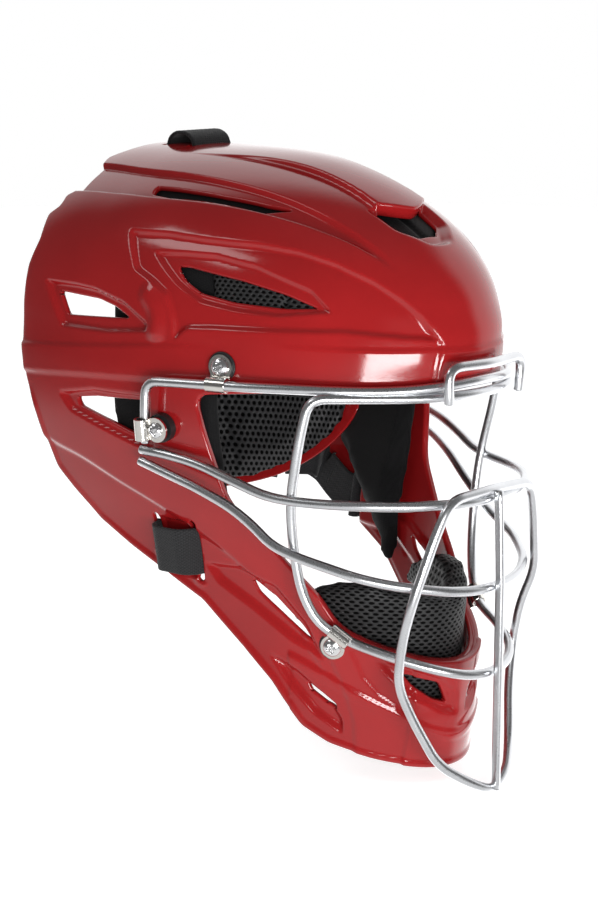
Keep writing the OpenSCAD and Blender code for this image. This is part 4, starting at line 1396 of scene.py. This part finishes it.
# The plate's rounded edge between its two faces: how far in from the outline, and how deep.
FACE_INSET, EDGE_RINGS = 1.2, [(0.5, 0.35), (0.2, 1.5), (0.5, 2.7)]


def plate_grid(inset, depth):
    """Points of the plate at a depth, its outline drawn in by inset; depth may be a function."""
    b = np.linspace(0, 1, PLATE_COLS)[None, :]
    a = np.linspace(0, 1, PLATE_ROWS)[:, None]
    phi = (PLATE_END - inset) * (2 * b - 1)
    half = plate_half(phi) - inset
    z = PLATE_MID_Z + half * (2 * a - 1)
    phi, z = np.broadcast_arrays(phi, z)
    d = depth(phi, z, half) if callable(depth) else depth
    return plate_at(np.radians(phi), z, d)


def plate_relief(phi, z, half):
    """Depth of the shallow panel inside a flush border, with two upright ribs and a flat round
    each stud left standing."""
    up = np.abs(z - PLATE_MID_Z)
    inner = ease((np.minimum(PANEL_END - np.abs(phi), half - PANEL_INSET - up)) / 2.5)
    rib = np.exp(-((np.abs(phi) - RIB_PHI) / RIB_WIDTH)**2) * ease((half - RIB_INSET - up) / 6)
    stud = ease((STUD_PAD_R - np.hypot((np.abs(phi) - STUD_PHI) * 1.5, z - STUD_Z)) / 2)
    return RELIEF_DEPTH * inner * (1 - rib) * (1 - stud)


def make_back_plate():
    """The plate's two faces, joined by its rounded edge."""
    outer, inner = plate_grid(FACE_INSET, plate_relief), plate_grid(FACE_INSET, PLATE_T)
    parts = [outer.reshape(-1, 3), inner.reshape(-1, 3)]
    faces, rim = grid_faces(PLATE_ROWS, PLATE_COLS)
    rings, total = [rim], 2 * len(parts[0])
    for inset, depth in EDGE_RINGS:
        parts.append(plate_grid(inset, depth).reshape(-1, 3)[rim])
        rings.append(np.arange(len(rim)) + total)
        total += len(rim)
    rings.append(rim + len(parts[0]))
    for near, far in zip(rings, rings[1:]):
        faces += ring_faces(near, far)
    made = faced_out(dress(mesh_object("nape_plate", np.concatenate(parts), faces), RED))
    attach(made, "back_plate")
    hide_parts("back_plate")


# ---------------------------------------------------------------- assemble
shell = dress(build_shell("shell", 1.1), RED)
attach(shell, "helmet")
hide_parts("outer_shell")

for wire_name, path in WIRES.items():
    piece = dress(tube(wire_name + "_wire", path, WIRE_R, wire_name in CLOSED), WIRE)
    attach(piece, "helmet")
    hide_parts(wire_name)

make_pads()
make_straps()
make_screws()
make_jaw_clips()
make_center_bar()
make_back_plate()

CAD_FINISH = {
    "temple_clips": CLIP_STEEL, "side_clips": CLIP_STEEL,
    "clip_nuts": SCREW_STEEL, "side_spacers": RUBBER,
    "plate_crossbar": RED, "strap_studs": BLACK,
}
for cad_name, mat in CAD_FINISH.items():
    dress(nodes[cad_name], mat)

# ---------------------------------------------------------------- stage, light and camera
FLOOR_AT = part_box("front_guard_loop")[0].z
BEHIND = Vector((0.69, 0.69, 0)).normalized()
FLOOR_R, FLOOR_STRETCH = 1.3, 1.6
# The way to the white sweep, and how bright the room, the sweep and the table are.
SWEEP_WAY = (0.90, 0.43, 0)
ROOM_DIM, SWEEP_WHITE, TABLE_WHITE = 0.13, 1.35, 0.70
# Name, place, target, (width, height), watts, and whether it shows in reflections.
LIGHTS = [
    ("key", (-0.85, -1.55, 0.12), (0, 0, -0.02), (1.0, 0.8), 24, False),
    ("overhead", (-0.1, -0.1, 1.9), (0, 0, 0), (1.4, 1.4), 9, False),
    ("brow_card", (-0.345, -0.477, -0.10), (-0.04, -0.117, 0.044), (0.30, 0.09), 1.9, True),
    ("left_high", (-0.95, 0.55, 1.05), (-0.08, 0, 0.06), (0.7, 0.3), 2.4, True),
]
CAMERA_AT, CAMERA_WAY, CAMERA_LENS = (-0.788, -0.7984, 0.2237), (0.690, 0.690, -0.2164), 84


def studio_floor():
    """A round table of pale card, reaching further behind the object than in front of it."""
    turn = np.linspace(0, 2 * np.pi, 96, endpoint=False)
    reach = FLOOR_R + FLOOR_STRETCH * np.maximum(0, np.cos(turn))**2
    across = Vector((-BEHIND.y, BEHIND.x, 0))
    points = [BEHIND * (r * math.cos(a)) + across * (r * math.sin(a)) + Vector((0, 0, FLOOR_AT))
              for a, r in zip(turn, reach)]
    made = mesh_object("studio_floor", np.array(points) / MM, [tuple(range(len(points)))])
    mat, tree, shader = material("pale_floor")
    shader.inputs["Base Color"].default_value = (0.86, 0.86, 0.86, 1)
    shader.inputs["Roughness"].default_value = 0.9
    shader.inputs["Specular IOR Level"].default_value = 0.0
    shader.inputs["Emission Color"].default_value = (1, 1, 1, 1)
    shader.inputs["Emission Strength"].default_value = 0.6
    dress(made, mat)
    made.visible_glossy = False


def area_light(name, place, target, size, power, glossy):
    """A soft box that the camera itself doesn't see."""
    data = bpy.data.lights.new(name, "AREA")
    data.shape = "RECTANGLE"
    data.size, data.size_y = size
    data.energy = power
    lamp = bpy.data.objects.new(name, data)
    lamp.location = place
    lamp.rotation_mode = "QUATERNION"
    lamp.rotation_quaternion = (Vector(target) - Vector(place)).to_track_quat("-Z", "Y")
    lamp.visible_camera = False
    lamp.visible_glossy = glossy
    bpy.context.scene.collection.objects.link(lamp)


def studio_world():
    """A dim room whose far wall is a white sweep, with white all round for the camera itself."""
    world = bpy.data.worlds.new("studio_world")
    bpy.context.scene.world = world
    world.use_nodes = True
    tree = world.node_tree
    way = node(tree, "ShaderNodeTexCoord").outputs["Generated"]
    height = node(tree, "ShaderNodeSeparateXYZ")
    tree.links.new(way, height.inputs[0])
    sweep = fade(tree, dot(tree, way, SWEEP_WAY), 0.10, 0.45)
    below_top = fade(tree, height.outputs["Z"], 0.92, 0.72)
    wall = fade(tree, maths(tree, "MULTIPLY", sweep, below_top), 0, 1, ROOM_DIM, SWEEP_WHITE, "LINEAR")
    table = fade(tree, height.outputs["Z"], -0.10, -0.45, 0, TABLE_WHITE)
    seen = node(tree, "ShaderNodeMix", B=1.0)
    tree.links.new(node(tree, "ShaderNodeLightPath").outputs["Is Camera Ray"], seen.inputs["Factor"])
    tree.links.new(maths(tree, "ADD", wall, table), seen.inputs["A"])
    background = tree.nodes["Background"]
    tree.links.new(seen.outputs["Result"], background.inputs["Strength"])
    background.inputs["Color"].default_value = (1, 1, 1, 1)


def make_camera():
    """A camera at the wearer's front right, a little above the eyes."""
    data = bpy.data.cameras.new("camera")
    data.lens, data.sensor_width = CAMERA_LENS, 36
    data.clip_start, data.clip_end = 0.05, 50
    camera = bpy.data.objects.new("camera", data)
    camera.location = CAMERA_AT
    camera.rotation_mode = "QUATERNION"
    camera.rotation_quaternion = Vector(CAMERA_WAY).to_track_quat("-Z", "Y")
    bpy.context.scene.collection.objects.link(camera)
    bpy.context.scene.camera = camera


studio_floor()
studio_world()
for light in LIGHTS:
    area_light(*light)
bpy.context.scene.view_settings.view_transform = "Standard"
make_camera()
